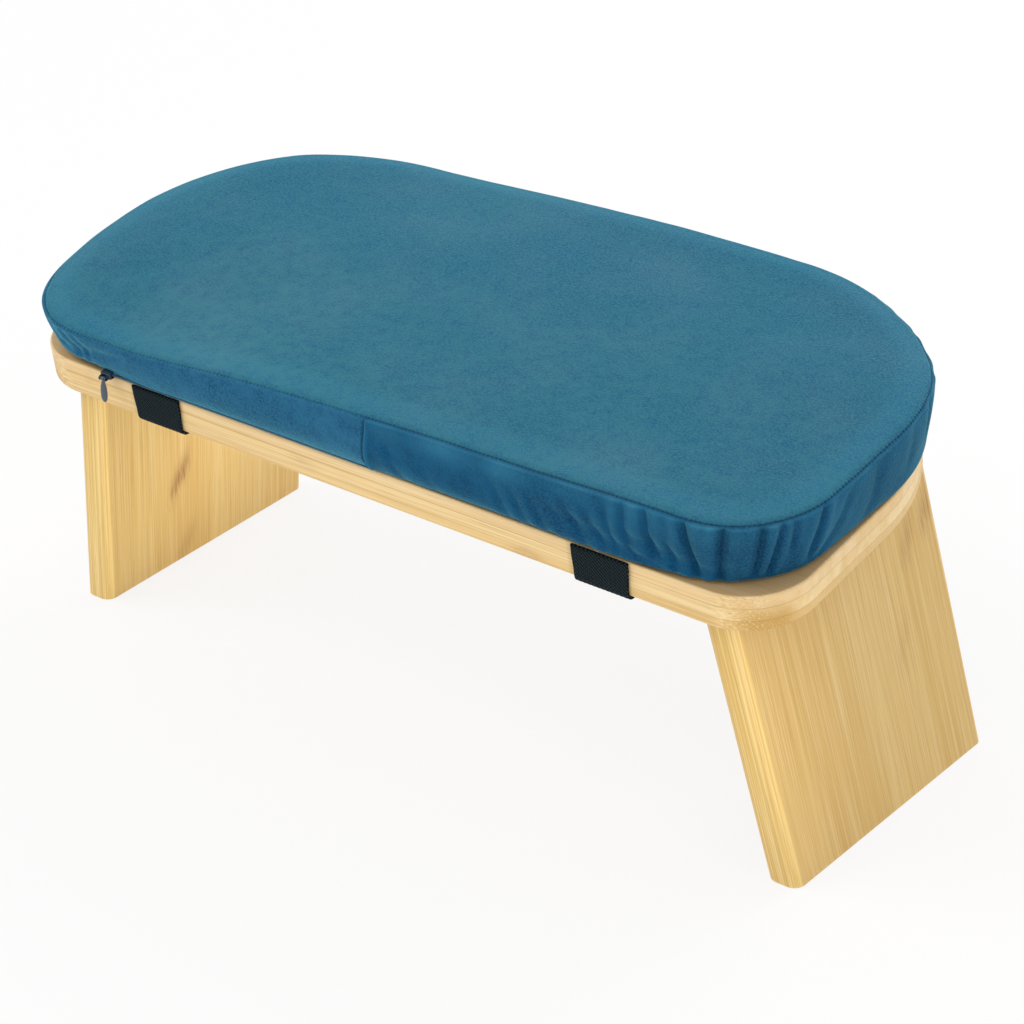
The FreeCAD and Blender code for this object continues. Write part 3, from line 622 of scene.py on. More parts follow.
# Darker than the zip band's velvet: painted shade of the band round the right front corner, lifted by
# painted light towards its middle.
gathered_velvet = make_velvet(
    "velvet_gathered_band", linear(2, 47, 82), linear(14, 78, 115),
    brushed=2.2, sheen=0.43, middle_painted_light=1.0)
under_velvet = make_velvet(
    "velvet_underside", linear(20, 70, 100), linear(28, 84, 112),
    brushed=1.6, sheen=0.5)


# Cushion: its outline is walked from the middle of the front edge towards the right end

cushion_overhang = 4.0
cushion_front_corner_radius = 50.0
cushion_clearance = 0.3
cushion_base = seat_thickness + cushion_clearance
cushion_bottom_round = 2.6
cushion_crown = 6.0
cushion_crown_reach = 95.0
cushion_shoulder = 2.2
cushion_shoulder_reach = 4.0
side_height = 32.0
top_ring_width = 26.0
flat_ring_width = 14.0
crown_rings = 34
base_rings = 12
ridge_share = 0.62
base_line_share = 0.6
band_joint_x = 8.0
band_joint_top_shift = 1.6
band_joint_foot_shift = -2.2
base_seam_place = 33.8
seam_groove_depth = 0.85
seam_groove_width = 0.7
seam_lip_height = 0.3
seam_lip_distance = 2.4
upright_groove_depth = 0.9
upright_welt_height = 0.75
upright_welt_distance = 1.9
crease_strength = 0.68
outline_step = 0.5
cover_step = 3.0
detail_step = 2.0
cloth_frames = 20
cloth_reach = 5.0
# Where round the cushion the finer columns for the creased corner begin and end
creased_corner = (145.0, 268.0)


def walk_outline(overhang, front_radius, rear_radius, step):
    """Points, outward directions and distances round the seat's outline, from the middle of the front."""
    half_length = seat_length / 2 + overhang
    half_depth = seat_depth / 2 + overhang
    points = []
    directions = []

    def straight(start, end, direction):
        """Points from the start up to the end, all with one outward direction."""
        count = max(2, int(math.dist(start, end) / step))
        for k in range(count):
            t = k / count
            points.append((start[0] + (end[0] - start[0]) * t, start[1] + (end[1] - start[1]) * t))
            directions.append(direction)

    def corner(centre, radius, start):
        """A quarter round from a starting angle in degrees."""
        count = int(radius * math.pi / 2 / step)
        for k in range(count):
            angle = math.radians(start + 90.0 * k / count)
            directions.append((math.cos(angle), math.sin(angle)))
            points.append((centre[0] + radius * math.cos(angle), centre[1] + radius * math.sin(angle)))

    fr = front_radius
    rr = rear_radius
    straight((0, -half_depth), (half_length - fr, -half_depth), (0, -1))
    corner((half_length - fr, -half_depth + fr), fr, -90)
    straight((half_length, -half_depth + fr), (half_length, half_depth - rr), (1, 0))
    corner((half_length - rr, half_depth - rr), rr, 0)
    straight((half_length - rr, half_depth), (-half_length + rr, half_depth), (0, 1))
    corner((-half_length + rr, half_depth - rr), rr, 90)
    straight((-half_length, half_depth - rr), (-half_length, -half_depth + fr), (-1, 0))
    corner((-half_length + fr, -half_depth + fr), fr, 180)
    straight((-half_length + fr, -half_depth), (0, -half_depth), (0, -1))
    points = np.array(points + points[:1])
    directions = np.array(directions + directions[:1], float)
    distance = np.concatenate([[0], np.cumsum(np.linalg.norm(np.diff(points, axis=0), axis=1))])
    return points, directions, distance


outline_points, outline_directions, outline_distance = walk_outline(
    cushion_overhang, cushion_front_corner_radius, rear_corner_radius + cushion_overhang, outline_step)
girth = outline_distance[-1]


def outline_at(around):
    """Outline points and outward directions at distances round the seam."""
    around = np.mod(around, girth)
    point = np.stack([np.interp(around, outline_distance, outline_points[:, k]) for k in (0, 1)], -1)
    out = np.stack([np.interp(around, outline_distance, outline_directions[:, k]) for k in (0, 1)], -1)
    return point, out / np.linalg.norm(out, axis=-1, keepdims=True)


def around_seat(stops, softness):
    """A smooth value round the cushion from (distance, value) stops. Distances to the left are negative."""
    places = np.array([stop[0] % girth for stop in stops])
    values = np.array([stop[1] for stop in stops], float)
    order = np.argsort(places)
    fine = np.arange(0, girth, 1.0)
    line = np.interp(fine, places[order], values[order], period=girth)
    reach = np.arange(-60, 61)
    weights = np.exp(-(reach / softness) ** 2)
    padded = np.concatenate([line[-60:], line, line[:60]])
    soft = np.convolve(padded, weights / weights.sum(), "valid")
    return lambda where: np.interp(np.mod(where, girth), np.append(fine, girth), np.append(soft, soft[0]))


# The five values below vary round the cushion, each in millimetres from (distance, value) stops:
# the top seam's height above the board, how far that seam stands out from the plain outline, how
# far the lower edge is lifted off its base, how far it is drawn in, and how full the side is.
seam_rise = around_seat([
    (0, 34.0), (52, 36.2), (96, 37.0), (150, 39.2), (185, 40.0), (212, 38.0), (240, 37.8), (290, 36.0),
    (335, 36.5), (400, 32.5), (428, 30.9), (462, 30.9), (494, 31.2), (527, 31.8), (578, 31.6), (611, 30.7),
    (661, 29.1), (694, 27.4), (728, 26.0), (760, 26.3), (789, 27.6), (816, 29.3), (873, 29.5), (907, 29.7),
    (945, 29.4), (963, 27.3), (985, 24.5), (-212, 24.2), (-181, 23.2), (-143, 23.2), (-108, 26.2),
    (-83, 29.0), (-48, 31.4), (-18, 33.2)], 14.0)
seam_spread = around_seat([
    (0, 0.0), (300, 0.2), (345, 1.6), (372, 1.4), (400, -1.2), (430, -2.0), (462, -1.0), (500, 0.0),
    (578, 0.8), (640, 0.0), (694, -0.8), (728, -1.4), (760, -0.7), (789, 0.6), (816, 1.9), (907, 2.1),
    (945, 2.0), (963, 0.9), (985, -0.8), (1005, -0.8), (-200, 0.0)], 12.0)
base_lift = around_seat([
    (0, 0.3), (150, 0.4), (185, 0.6), (212, 0.9), (240, 0.9), (280, 0.8), (330, 0.8), (420, 0.6),
    (615, 0.3), (940, 0.5), (-230, 3.2), (-200, 3.5), (-168, 2.0), (-140, 0.5)], 12.0)
base_draw = around_seat([
    (0, 1.2), (150, 1.8), (185, 5.6), (215, 9.6), (250, 7.6), (290, 4.4), (345, 1.8), (420, 2.4),
    (615, 2.0), (940, 2.0), (-230, 2.6), (-200, 3.4), (-150, 1.3)], 14.0)
band_fullness = around_seat([
    (-60, 0.5), (6, 0.5), (18, 1.6), (90, 2.0), (150, 1.8), (200, 1.6), (330, 1.6), (360, 1.6), (450, 1.0),
    (600, 1.0), (640, 0.4), (900, 0.5), (960, 1.2), (985, 2.8), (1005, 2.4), (-200, 0.8), (-150, 0.3)], 8.0)


def seam_height(around):
    """Height of the top seam over the seat's underside."""
    return seat_thickness + seam_rise(around)


# Each crease: where it starts at the seam, where it ends lower down, its depth and width,
# and the share of the side's height where it begins and where it fades out.
creases = [
    (157.2, 156.3, 2.0, 3.0, 0.02, 0.75), (168.9, 169.3, 2.6, 3.2, 0.0, 0.8),
    (176.8, 179.2, 1.5, 2.4, 0.45, 0.95), (188.8, 189.3, 3.6, 3.0, 0.0, 1.0),
    (207.3, 201.4, 3.9, 3.0, 0.0, 1.0), (224.4, 219.8, 3.4, 3.0, 0.0, 0.85),
    (233.3, 226.7, 3.0, 2.6, 0.0, 0.9), (238.8, 237.4, 1.8, 2.4, 0.0, 0.5),
    (255.1, 250.4, 2.6, 3.0, 0.0, 0.85), (277.6, 258.4, 1.0, 4.0, 0.1, 0.9),
    (300.0, 292.0, 0.9, 6.0, 0.1, 0.9), (330.0, 326.0, 0.8, 6.0, 0.0, 0.7),
    (18.0, 30.4, 0.9, 3.4, 0.3, 1.0), (38.0, 49.9, 0.6, 4.0, 0.4, 1.0),
    (80.0, 93.5, 1.0, 3.4, 0.35, 1.0), (90.0, 103.9, 1.0, 3.0, 0.35, 1.0),
    (100.0, 114.8, 1.1, 3.0, 0.35, 1.0), (121.0, 135.0, 1.2, 3.0, 0.3, 1.0),
    (132.0, 145.9, 1.2, 3.0, 0.3, 1.0), (147.0, 150.5, 1.2, 2.8, 0.2, 1.0),
    (-196.0, -184.0, 1.3, 3.2, 0.15, 1.0), (-187.0, -176.0, 1.2, 3.0, 0.15, 0.9),
    (-206.0, -197.0, 1.0, 3.2, 0.05, 0.8)]


def rear_creases():
    """Looser gathers of the same kind round the right rear of the cushion, which the picture hides."""
    chance = np.random.default_rng(11)
    found = []
    where = 352.0
    while where < 585.0:
        slant = chance.uniform(-7.0, 4.0)
        depth = chance.uniform(0.8, 2.2)
        found.append((where, where + slant, depth, chance.uniform(2.6, 3.8), chance.uniform(0, 0.15),
                      chance.uniform(0.55, 1.0)))
        where += chance.uniform(12.0, 26.0)
    return found


def crease_depth(around, share):
    """How far the creases draw the side in, at a distance round and a share of the way down."""
    total = np.zeros(np.broadcast(around, share).shape)
    for top, foot, depth, width, begins, ends in creases + rear_creases():
        centre = top + (foot - top) * share
        gap = np.mod(around - centre + girth / 2, girth) - girth / 2
        sharp = np.exp(-np.abs(gap / (0.62 * width)) ** 1.3)
        shoulder = bell(np.abs(gap), 1.7 * width, 1.1 * width)
        window = smooth_step(begins - 0.12, begins + 0.12, share)
        window = window * (1 - smooth_step(ends - 0.15, ends + 0.1, share))
        total += depth * window * (sharp - 0.3 * shoulder)
    return total


def crown_rise(inward):
    """Height of the top panel above its seam, at a distance in from the seam."""
    shoulder = cushion_shoulder * (1 - np.exp(-np.maximum(inward, 0) / cushion_shoulder_reach))
    return shoulder + (cushion_crown - cushion_shoulder) * smooth_step(0, cushion_crown_reach, inward)


def top_unevenness(x, y):
    """The slight waves of the foam under the top panel."""
    wave = 0.5 * np.sin(x / 61.0 + 0.7) * np.cos(y / 47.0 + 0.4)
    wave += 0.35 * np.sin(x / 33.0 + y / 52.0 + 2.0)
    return wave


side_share = np.array([0.0, 0.07, 0.15, 0.25, 0.35, 0.45, 0.55, 0.65, 0.75, 0.85, 0.93, 1.0])
ring_inward = np.array([top_ring_width, 21.0, 16.5, 12.5, 9.0, 6.0, 3.0, 0.0])
round_turn = np.radians([30.0, 60.0, 90.0])
flat_inward = np.array([3.0, 6.5, 10.0, flat_ring_width])


def cover_rows(around):
    """The cover's outer rings before it is filled, in the seat's frame: the top ring, the side,
    the bottom round and the flat base."""
    point, out = outline_at(around)
    height = seam_height(around)
    foot = cushion_base + base_lift(around)
    draw = base_draw(around)
    full = band_fullness(around)
    spread = seam_spread(around)
    rows = []
    for inward in ring_inward:
        xy = point - out * (inward - spread * (1 - inward / top_ring_width))[:, None]
        waves = top_unevenness(xy[:, 0], xy[:, 1]) * smooth_step(0, top_ring_width, inward)
        rise = crown_rise(inward) + waves
        rows.append(np.column_stack([xy, height + rise]))
    seam_row = len(rows) - 1
    straight = height - foot - cushion_bottom_round
    for share in side_share[1:]:
        bulge = full * np.sin(math.pi * share ** 0.62) - 0.5 * math.sin(math.pi * share)
        shift = spread * (1 - 0.6 * share) - draw * share ** 1.3 + bulge
        rows.append(np.column_stack([point + out * shift[:, None], height - straight * share]))
    foot_shift = shift
    for turn in round_turn:
        shift = foot_shift - cushion_bottom_round * (1 - math.cos(turn))
        rows.append(np.column_stack([point + out * shift[:, None],
                                     foot + cushion_bottom_round * (1 - math.sin(turn))]))
    for inward in flat_inward:
        shift = foot_shift * (1 - inward / flat_ring_width) - draw * inward / flat_ring_width
        shift = shift - cushion_bottom_round - inward
        sunk = foot + (cushion_base - foot) * smooth_step(0, 12, inward)
        rows.append(np.column_stack([point + out * shift[:, None], sunk]))
    return np.array(rows), seam_row


def fill_cover(rows, seam_row):
    """Cloth simulation: the pinned seams hold while the foam's pressure fills the side between them."""
    count, columns = rows.shape[:2]
    start = seat_to_world(rows.reshape(-1, 3))
    cover = new_piece("cover_simulation", start, grid_faces(count, columns))
    hold = cover.vertex_groups.new(name="sewn_edges")
    held_rows = [0, 1, 2, seam_row, count - 1, count - 2, count - 3]
    for r in held_rows:
        hold.add(list(range(r * columns, (r + 1) * columns)), 1.0, "REPLACE")
    cloth = cover.modifiers.new("cover_cloth", "CLOTH")
    settings = cloth.settings
    settings.quality = 6
    settings.mass = 0.3
    settings.tension_stiffness = 18.0
    settings.compression_stiffness = 8.0
    settings.shear_stiffness = 6.0
    settings.bending_stiffness = 0.25
    settings.air_damping = 2.0
    settings.vertex_group_mass = hold.name
    settings.pin_stiffness = 1.0
    settings.use_pressure = True
    settings.uniform_pressure_force = 5.0
    settings.effector_weights.gravity = 0.0
    cloth.point_cache.frame_start = 1
    cloth.point_cache.frame_end = cloth_frames
    scene = bpy.context.scene
    for step in range(1, cloth_frames + 1):
        scene.frame_set(step)
    settled = cover.evaluated_get(bpy.context.evaluated_depsgraph_get())
    filled = np.array([v.co for v in settled.data.vertices], float)
    scene.frame_set(1)
    mesh = cover.data
    bpy.data.objects.remove(cover)
    bpy.data.meshes.remove(mesh)
    moved = filled - start
    length = np.linalg.norm(moved, axis=1, keepdims=True)
    moved *= np.minimum(1.0, cloth_reach * MM / np.maximum(length, 1e-9))
    return (start + moved).reshape(count, columns, 3)


def curve_through(values, known, wanted, closed=False):
    """Smooth curve through rows of values known at some stops, read at other stops."""
    known = np.asarray(known, float)
    if closed:
        span = known[-1] + (known[1] - known[0])
        known = np.concatenate([known[-2:] - span, known, known[:2] + span])
        values = np.concatenate([values[-2:], values, values[:2]])
    slope = np.gradient(values, known, axis=0)
    index = np.clip(np.searchsorted(known, wanted, "right") - 1, 0, len(known) - 2)
    width = known[index + 1] - known[index]
    t = (wanted - known[index]) / width
    shape = (-1,) + (1,) * (values.ndim - 1)
    t = t.reshape(shape)
    width = width.reshape(shape)
    start = (1 + 2 * t) * (1 - t) ** 2 * values[index] + t * (1 - t) ** 2 * width * slope[index]
    end = t * t * (3 - 2 * t) * values[index + 1] + t * t * (t - 1) * width * slope[index + 1]
    return start + end


def uneven(around, spacing, seed):
    """Smooth random numbers from -1 to 1 round the cushion, with one bend to each spacing."""
    count = int(girth / spacing)
    chance = np.random.default_rng(seed).uniform(-1, 1, count)
    knots = np.arange(count) * (girth / count)
    return curve_through(chance[:, None], knots, np.mod(around, girth), closed=True)[:, 0]


def surface_normals(points):
    """Outward normals of a grid that is closed along its columns."""
    along = np.roll(points, -1, axis=1) - np.roll(points, 1, axis=1)
    down = np.gradient(points, axis=0)
    normal = np.cross(along, down)
    return -normal / np.maximum(np.linalg.norm(normal, axis=-1, keepdims=True), 1e-12)


def detail_columns():
    """Distances round the cushion for the fine mesh, closer together at the two upright seams."""
    even = np.arange(0, girth - 0.5 * detail_step, girth / round(girth / detail_step))
    extra = []
    for joint in (front_joint, rear_joint):
        extra += [joint + gap for gap in (-2.6, -1.5, -0.8, -0.3, 0.0, 0.3, 0.8, 1.5, 2.6)]
    step = even[1]
    extra += [a + step / 2 for a in even if creased_corner[0] < a < creased_corner[1]]
    kept = [a for a in even if min(abs(a - e) for e in extra) > 0.45]
    return np.array(sorted(kept + extra))


on_rear_edge = outline_points[:, 1] > 60.0
front_joint = band_joint_x
rear_joint = np.interp(-band_joint_x, -outline_points[on_rear_edge, 0], outline_distance[on_rear_edge])


def gathered_share(columns):
    """1 along the gathered band and 0 along the zip band, with a short rise at the upright seams."""
    begun = smooth_step(front_joint - 1, front_joint + 4, columns)
    return begun * (1 - smooth_step(rear_joint - 4, rear_joint + 1, columns))


# Where the fine mesh has its rings: out from the top ring's inner edge, then down from the top seam
top_ring_places = np.array([0, 3, 6, 9, 12, 14.5, 17, 19, 20.7, 22, 23, 23.8, 24.5, 25.1, 25.6])
lower_ring_places = np.concatenate([
    [0.4, 0.9, 1.5, 2.2, 3.1, 4.2, 5.6], np.arange(7.2, 29.0, 1.8),
    [29.6, 30.6, 31.6, 32.6, 33.6, 34.4, 35.2, 36.4, 38.5, 41.5, 44.5, 47.5]])


def refine_cover(world, seam_row, around, columns):
    """The filled cover on a finer grid, and each of its rings' place down from the top seam."""
    world = np.swapaxes(curve_through(np.swapaxes(world, 0, 1), around, columns, closed=True), 0, 1)
    top_stops = np.cumsum(np.concatenate([[0], -np.diff(ring_inward)]))
    top_rows = curve_through(world[:seam_row + 1], top_stops, top_ring_places)
    straight = side_height - cushion_bottom_round
    lower_stops = np.concatenate([
        side_share * straight,
        straight + round_turn * cushion_bottom_round,
        side_height + 1.5 + flat_inward])
    lower = lower_ring_places[lower_ring_places <= lower_stops[-1]]
    lower_rows = curve_through(world[seam_row:], lower_stops, lower)
    grid = np.concatenate([top_rows, world[seam_row][None], lower_rows])
    return grid, np.concatenate([top_ring_places - top_ring_width, [0.0], lower])


def side_window(station):
    """1 on the cover's side, with a fall to 0 towards the top seam and towards the base seam."""
    return smooth_step(0.3, 2.0, station) * (1 - smooth_step(31, 34, station))


def seam_relief(station, columns):
    """How far the top and base seams, their lips and the gathers stand out from the filled cover."""
    gap = np.abs(station)[:, None]
    below = (station > 0)[:, None]
    pucker = uneven(columns, 5.5, 3)[None]
    groove = seam_groove_depth * np.exp(-(gap / seam_groove_width) ** 1.5) * (1 + 0.3 * pucker)
    lip = seam_lip_height * bell(gap, seam_lip_distance, 1.3)
    ruffle = uneven(columns, 7.0, 5)[None] * np.exp(-gap / 6.5) * smooth_step(0.0, 1.6, gap)
    ruffle = ruffle * (0.12 + 0.38 * gathered_share(columns))[None] * below
    tight = uneven(columns, 9.0, 8)[None] * np.exp(-gap / 4.0) * 0.1 * (1 - below)
    base_seam = 0.5 * bell(station[:, None], base_seam_place, seam_groove_width)
    return lip + ruffle + tight - groove - base_seam


def upright_relief(columns):
    """How far the side stands out beside its two upright seams: a groove, a welt and the fuller band."""
    relief = np.zeros_like(columns)
    for joint, turn in ((front_joint, 1), (rear_joint, -1)):
        away = (columns - joint) * turn
        relief -= upright_groove_depth * bell(away, 0.0, 0.6)
        relief += upright_welt_height * bell(away, upright_welt_distance, 1.3)
        relief += 0.35 * np.exp(-np.maximum(away, 0) / 6.0) * (away > 0)
    return relief


def seam_shadow(station, columns, creased):
    """Mask of the lines that hold shade: the seams and the deepest creases."""
    gap = station[:, None]
    mask = bell(gap, 0.0, 0.5) * (0.45 + 0.4 * gathered_share(columns))[None]
    mask = np.maximum(mask, 0.45 * np.clip(creased / 2.4, 0, 1) ** 1.3)
    mask = np.maximum(mask, 0.8 * bell(gap, base_seam_place, 0.5))
    for joint in (front_joint, rear_joint):
        mask = np.maximum(mask, 0.55 * side_window(gap) * bell(columns, joint, 0.45)[None])
    return mask


def make_cushion():
    """The cushion: its cover is filled, and the seams, gathers and creases are drawn into a finer mesh."""
    around = np.arange(round(girth / cover_step)) * (girth / round(girth / cover_step))
    rows, seam_row = cover_rows(around)
    world = fill_cover(rows, seam_row)
    columns = detail_columns()
    grid, station = refine_cover(world, seam_row, around, columns)
    side = side_window(station)[:, None]
    share = np.clip(station / side_height, 0, 1)[:, None]
    creased = crease_strength * crease_depth(columns[None], share) * side
    moved = seam_relief(station, columns) + side * upright_relief(columns)[None] - creased
    grid = grid + surface_normals(grid) * moved[..., None] * MM
    slant = band_joint_top_shift + (band_joint_foot_shift - band_joint_top_shift) * share
    near = bell(columns, front_joint, 14.0)[None] * smooth_step(-8.0, 0.0, station)[:, None]
    grid[..., 0] += slant * near * MM
    masks = {"seam_and_crease_shade": seam_shadow(station, columns, creased),
             "painted_pile_highlight": painted_pile_highlight(station, columns, creased)}
    return build_cushion(grid, station, columns, masks)


def painted_pile_highlight(station, columns, creased):
    """Mask of the painted highlights on the bands' ridges, seam lips, welt, rim and foot."""
    gap = station[:, None]
    gathered = gathered_share(columns)
    rub = 0.7 + 0.3 * uneven(columns, 11.0, 21)
    folds = 0.22 * np.clip(-creased / 0.5, 0, 1) * (1 - 0.5 * smooth_step(6.0, 30.0, gap))
    lip = bell(gap, 1.5, 0.9) * (0.15 + 0.6 * gathered * rub)[None] * (gap > 0)
    # A broad painted highlight along the gathered band, some way from its front seam.
    brushed = 1 + 1.9 * bell(columns, front_joint + 60.0, 50.0)
    upper = bell(gap, 3.5, 6.0) * (0.21 * gathered * rub * brushed)[None] * (gap > 0)
    welt = 0.4 * bell(columns, front_joint + upright_welt_distance, 1.0)[None]
    welt = welt * (gap > 1.0) * (gap < 30.0)
    rim = 0.24 * bell(gap, -7.0, 8.0) * (gap < 0)
    foot = 0.2 * bell(gap, side_height, 1.3) * rub[None]
    return np.clip(folds + np.maximum(np.maximum(lip, upper), welt) + rim + foot, 0, 1)


def crown_over(inner, columns):
    """Rings of the crown, from near its middle ridge out to the top ring's inner edge."""
    seat_inner = world_to_seat(inner)
    ridge = np.column_stack([seat_inner[:, 0] * ridge_share, np.full(len(columns), 2.0)])
    top_height = seam_height(columns)
    lean = np.polyfit(seat_inner[:, 0], top_height, 1)
    rings = []
    for share in np.linspace(0, 0.97, crown_rings)[1:]:
        xy = seat_inner[:, :2] * (1 - share) + ridge * share
        blend = (1 - share) ** 1.5
        level = top_height * blend + np.polyval(lean, xy[:, 0]) * (1 - blend)
        rise = crown_rise(top_ring_width + share * 78.0) + top_unevenness(xy[:, 0], xy[:, 1])
        rings.append(seat_to_world(np.column_stack([xy, level + rise])))
    return rings[::-1]


def base_under(outer, columns):
    """Rings of the flat base, from its outer edge in to near its middle line."""
    seat_outer = world_to_seat(outer)
    middle_line = np.column_stack([seat_outer[:, 0] * base_line_share, 0 * columns])
    rings = []
    for share in np.linspace(0, 0.94, base_rings)[1:]:
        xy = seat_outer[:, :2] * (1 - share) + middle_line * share
        rings.append(seat_to_world(np.column_stack([xy, np.full(len(columns), cushion_base)])))
    return rings


def build_cushion(grid, station, columns, masks):
    """One closed mesh of the crown, the side and the base, with its masks, its flat map and its velvets."""
    crown = crown_over(grid[0], columns)
    base = base_under(grid[-1], columns)
    rows = np.concatenate([np.array(crown), grid, np.array(base)])
    count = len(columns)
    faces = grid_faces(len(rows), count)
    grid_count = len(faces)
    faces += close_opening(rows[0], 0)
    crown_count = len(faces)
    faces += [face[::-1] for face in close_opening(rows[-1], (len(rows) - 1) * count)]
    cushion = new_piece("cushion", rows.reshape(-1, 3), faces)
    crown_places = np.full(len(crown), -30.0)
    base_places = np.full(len(base), 60.0)
    map_seams(cushion, columns, np.concatenate([crown_places, station, base_places]))
    for label, values in masks.items():
        mask = np.zeros((len(rows), count))
        mask[len(crown):len(crown) + len(grid)] = values
        attribute = cushion.data.attributes.new(label, "FLOAT", "POINT")
        attribute.data.foreach_set("value", mask.ravel().astype(np.float32))
    for material in (top_velvet, zip_band_velvet, gathered_velvet, under_velvet):
        cushion.data.materials.append(material)
    top_slot, zip_slot, gathered_slot, under_slot = range(4)
    top_faces = (len(crown) + int(np.sum(station < 0))) * count
    side_faces = (len(crown) + int(np.sum(station < base_seam_place))) * count
    in_gathers = (columns > front_joint - 0.01) & (columns < rear_joint - 0.01)
    band_slot = np.where(in_gathers, gathered_slot, zip_slot)
    slots = [top_slot if f < top_faces else int(band_slot[f % count]) if f < side_faces else under_slot
             for f in range(grid_count)]
    slots += [top_slot] * (crown_count - grid_count) + [under_slot] * (len(faces) - crown_count)
    cushion.data.polygons.foreach_set("material_index", slots)
    cushion.data.update()
    return cushion


def close_opening(loop, first):
    """Triangles across a long narrow opening, from its front side to its rear side, face up."""
    count = len(loop)
    left = int(np.argmin(loop[:, 0]))
    right = int(np.argmax(loop[:, 0]))
    front = [(left + k) % count for k in range((right - left) % count + 1)]
    rear = [(left - k) % count for k in range((left - right) % count + 1)]
    faces = []
    i = 0
    j = 0
    while i < len(front) - 1 or j < len(rear) - 1:
        ahead = i < len(front) - 1 and (
            j == len(rear) - 1 or loop[front[i + 1], 0] <= loop[rear[j + 1], 0])
        corners = [front[i], front[i + 1], rear[j]] if ahead else [front[i], rear[j + 1], rear[j]]
        i, j = (i + 1, j) if ahead else (i, j + 1)
        if len(set(corners)) == 3:
            faces.append(tuple(first + c for c in corners))
    return faces


def map_seams(cushion, columns, station):
    """A flat map of the cover: metres round the top seam, and metres down from it."""
    around = np.append(columns, columns[0] + girth)
    rows = len(station)
    count = len(columns)
    flat = np.zeros((len(cushion.data.loops), 2))
    sides = np.empty((rows - 1, count, 4, 2))
    sides[..., 0] = np.stack([around[:-1], around[:-1], around[1:], around[1:]], -1)[None]
    sides[..., 1] = np.stack([station[:-1], station[1:], station[1:], station[:-1]], -1)[:, None]
    flat[:sides.size // 2] = sides.reshape(-1, 2) * MM
    layer = cushion.data.uv_layers.new(name="seam_map")
    layer.data.foreach_set("uv", flat.ravel())


# Elastic straps

strap_width = 32.0
strap_thickness = 1.6
left_strap_inset = 79.0
right_strap_inset = 75.5
strap_gap = 0.2
strap_ribs = 12
rib_height = 0.05
rolled_edge = 0.8
strap_narrowing = 0.7
strap_upright_steps = 10
strap_bend_steps = 8
strap_under_steps = 60
elastic_thread = 1.1
thread_black = linear(33, 53, 59)
gap_shade_black = linear(1, 5, 8)
lint_grey = linear(38, 50, 56)
elastic_dust = linear(120, 124, 126)


def rear_edge_y(x):
    """Where the seat's rear edge is at a place along it."""
    past = np.maximum(np.abs(x) - (seat_length / 2 - rear_corner_radius), 0.0)
    return seat_depth / 2 - rear_corner_radius + np.sqrt(rear_corner_radius ** 2 - past ** 2)


def strap_path(x, offset):
    """Half-loop of a strap round the board, at one place across it and one height above the wood."""
    front = -seat_depth / 2
    rear = float(rear_edge_y(x))
    top = seat_thickness + 0.1
    low = board_lower_round
    rise = (top - low) / strap_upright_steps
    bends = []
    for centre, start in ((front + low, 180), (rear - low, 270)):
        angles = [math.radians(start + 90 * k / strap_bend_steps) for k in range(strap_bend_steps + 1)]
        bends.append([(centre + (low + offset) * math.cos(a), low + (low + offset) * math.sin(a))
                      for a in angles])
    shares = [k / strap_under_steps for k in range(1, strap_under_steps)]
    points = [(front - offset, top - k * rise) for k in range(strap_upright_steps)]
    points += bends[0]
    points += [(front + low + (rear - front - 2 * low) * t, -offset) for t in shares]
    points += bends[1]
    points += [(rear + offset, low + (k + 1) * rise) for k in range(strap_upright_steps)]
    return points


def make_elastic():
    """Black elastic: ribs of thread with painted shade in the gaps between them, and a little lint and
    dust.
    """
    material, tree, surface = new_material("ribbed_black_elastic", sockets={
        "Roughness": 0.82, "Specular IOR Level": 0.1, "Sheen Weight": 0.04, "Sheen Roughness": 0.5,
        "Sheen Tint": linear(170, 190, 196)})
    flat = place(tree, "UVMap", uv_map="flat_cloth").outputs[0]
    weave = use_group(tree, woven_twill, {"Vector": flat, "Thread": elastic_thread * MM, "Slant": -1.0})
    # Painted shade in the gaps between the threads.
    colour = mixed_colour(tree, weave["Gap"], thread_black, gap_shade_black)
    lint = ramp(tree, noise(tree, flat, 420.0, 3.0, 0.6), 0.55, 0.8, 0.0, 0.14)
    colour = mixed_colour(tree, lint, colour, lint_grey)
    here = rest_position(tree)
    colour = dusted(tree, here, colour, elastic_dust, amount=0.05)[0]
    normal = bump(tree, weave["Height"], 0.7, 0.00035)
    fill_sockets(tree, surface, {"Base Color": colour, "Normal": normal})
    return material


black_elastic = make_elastic()


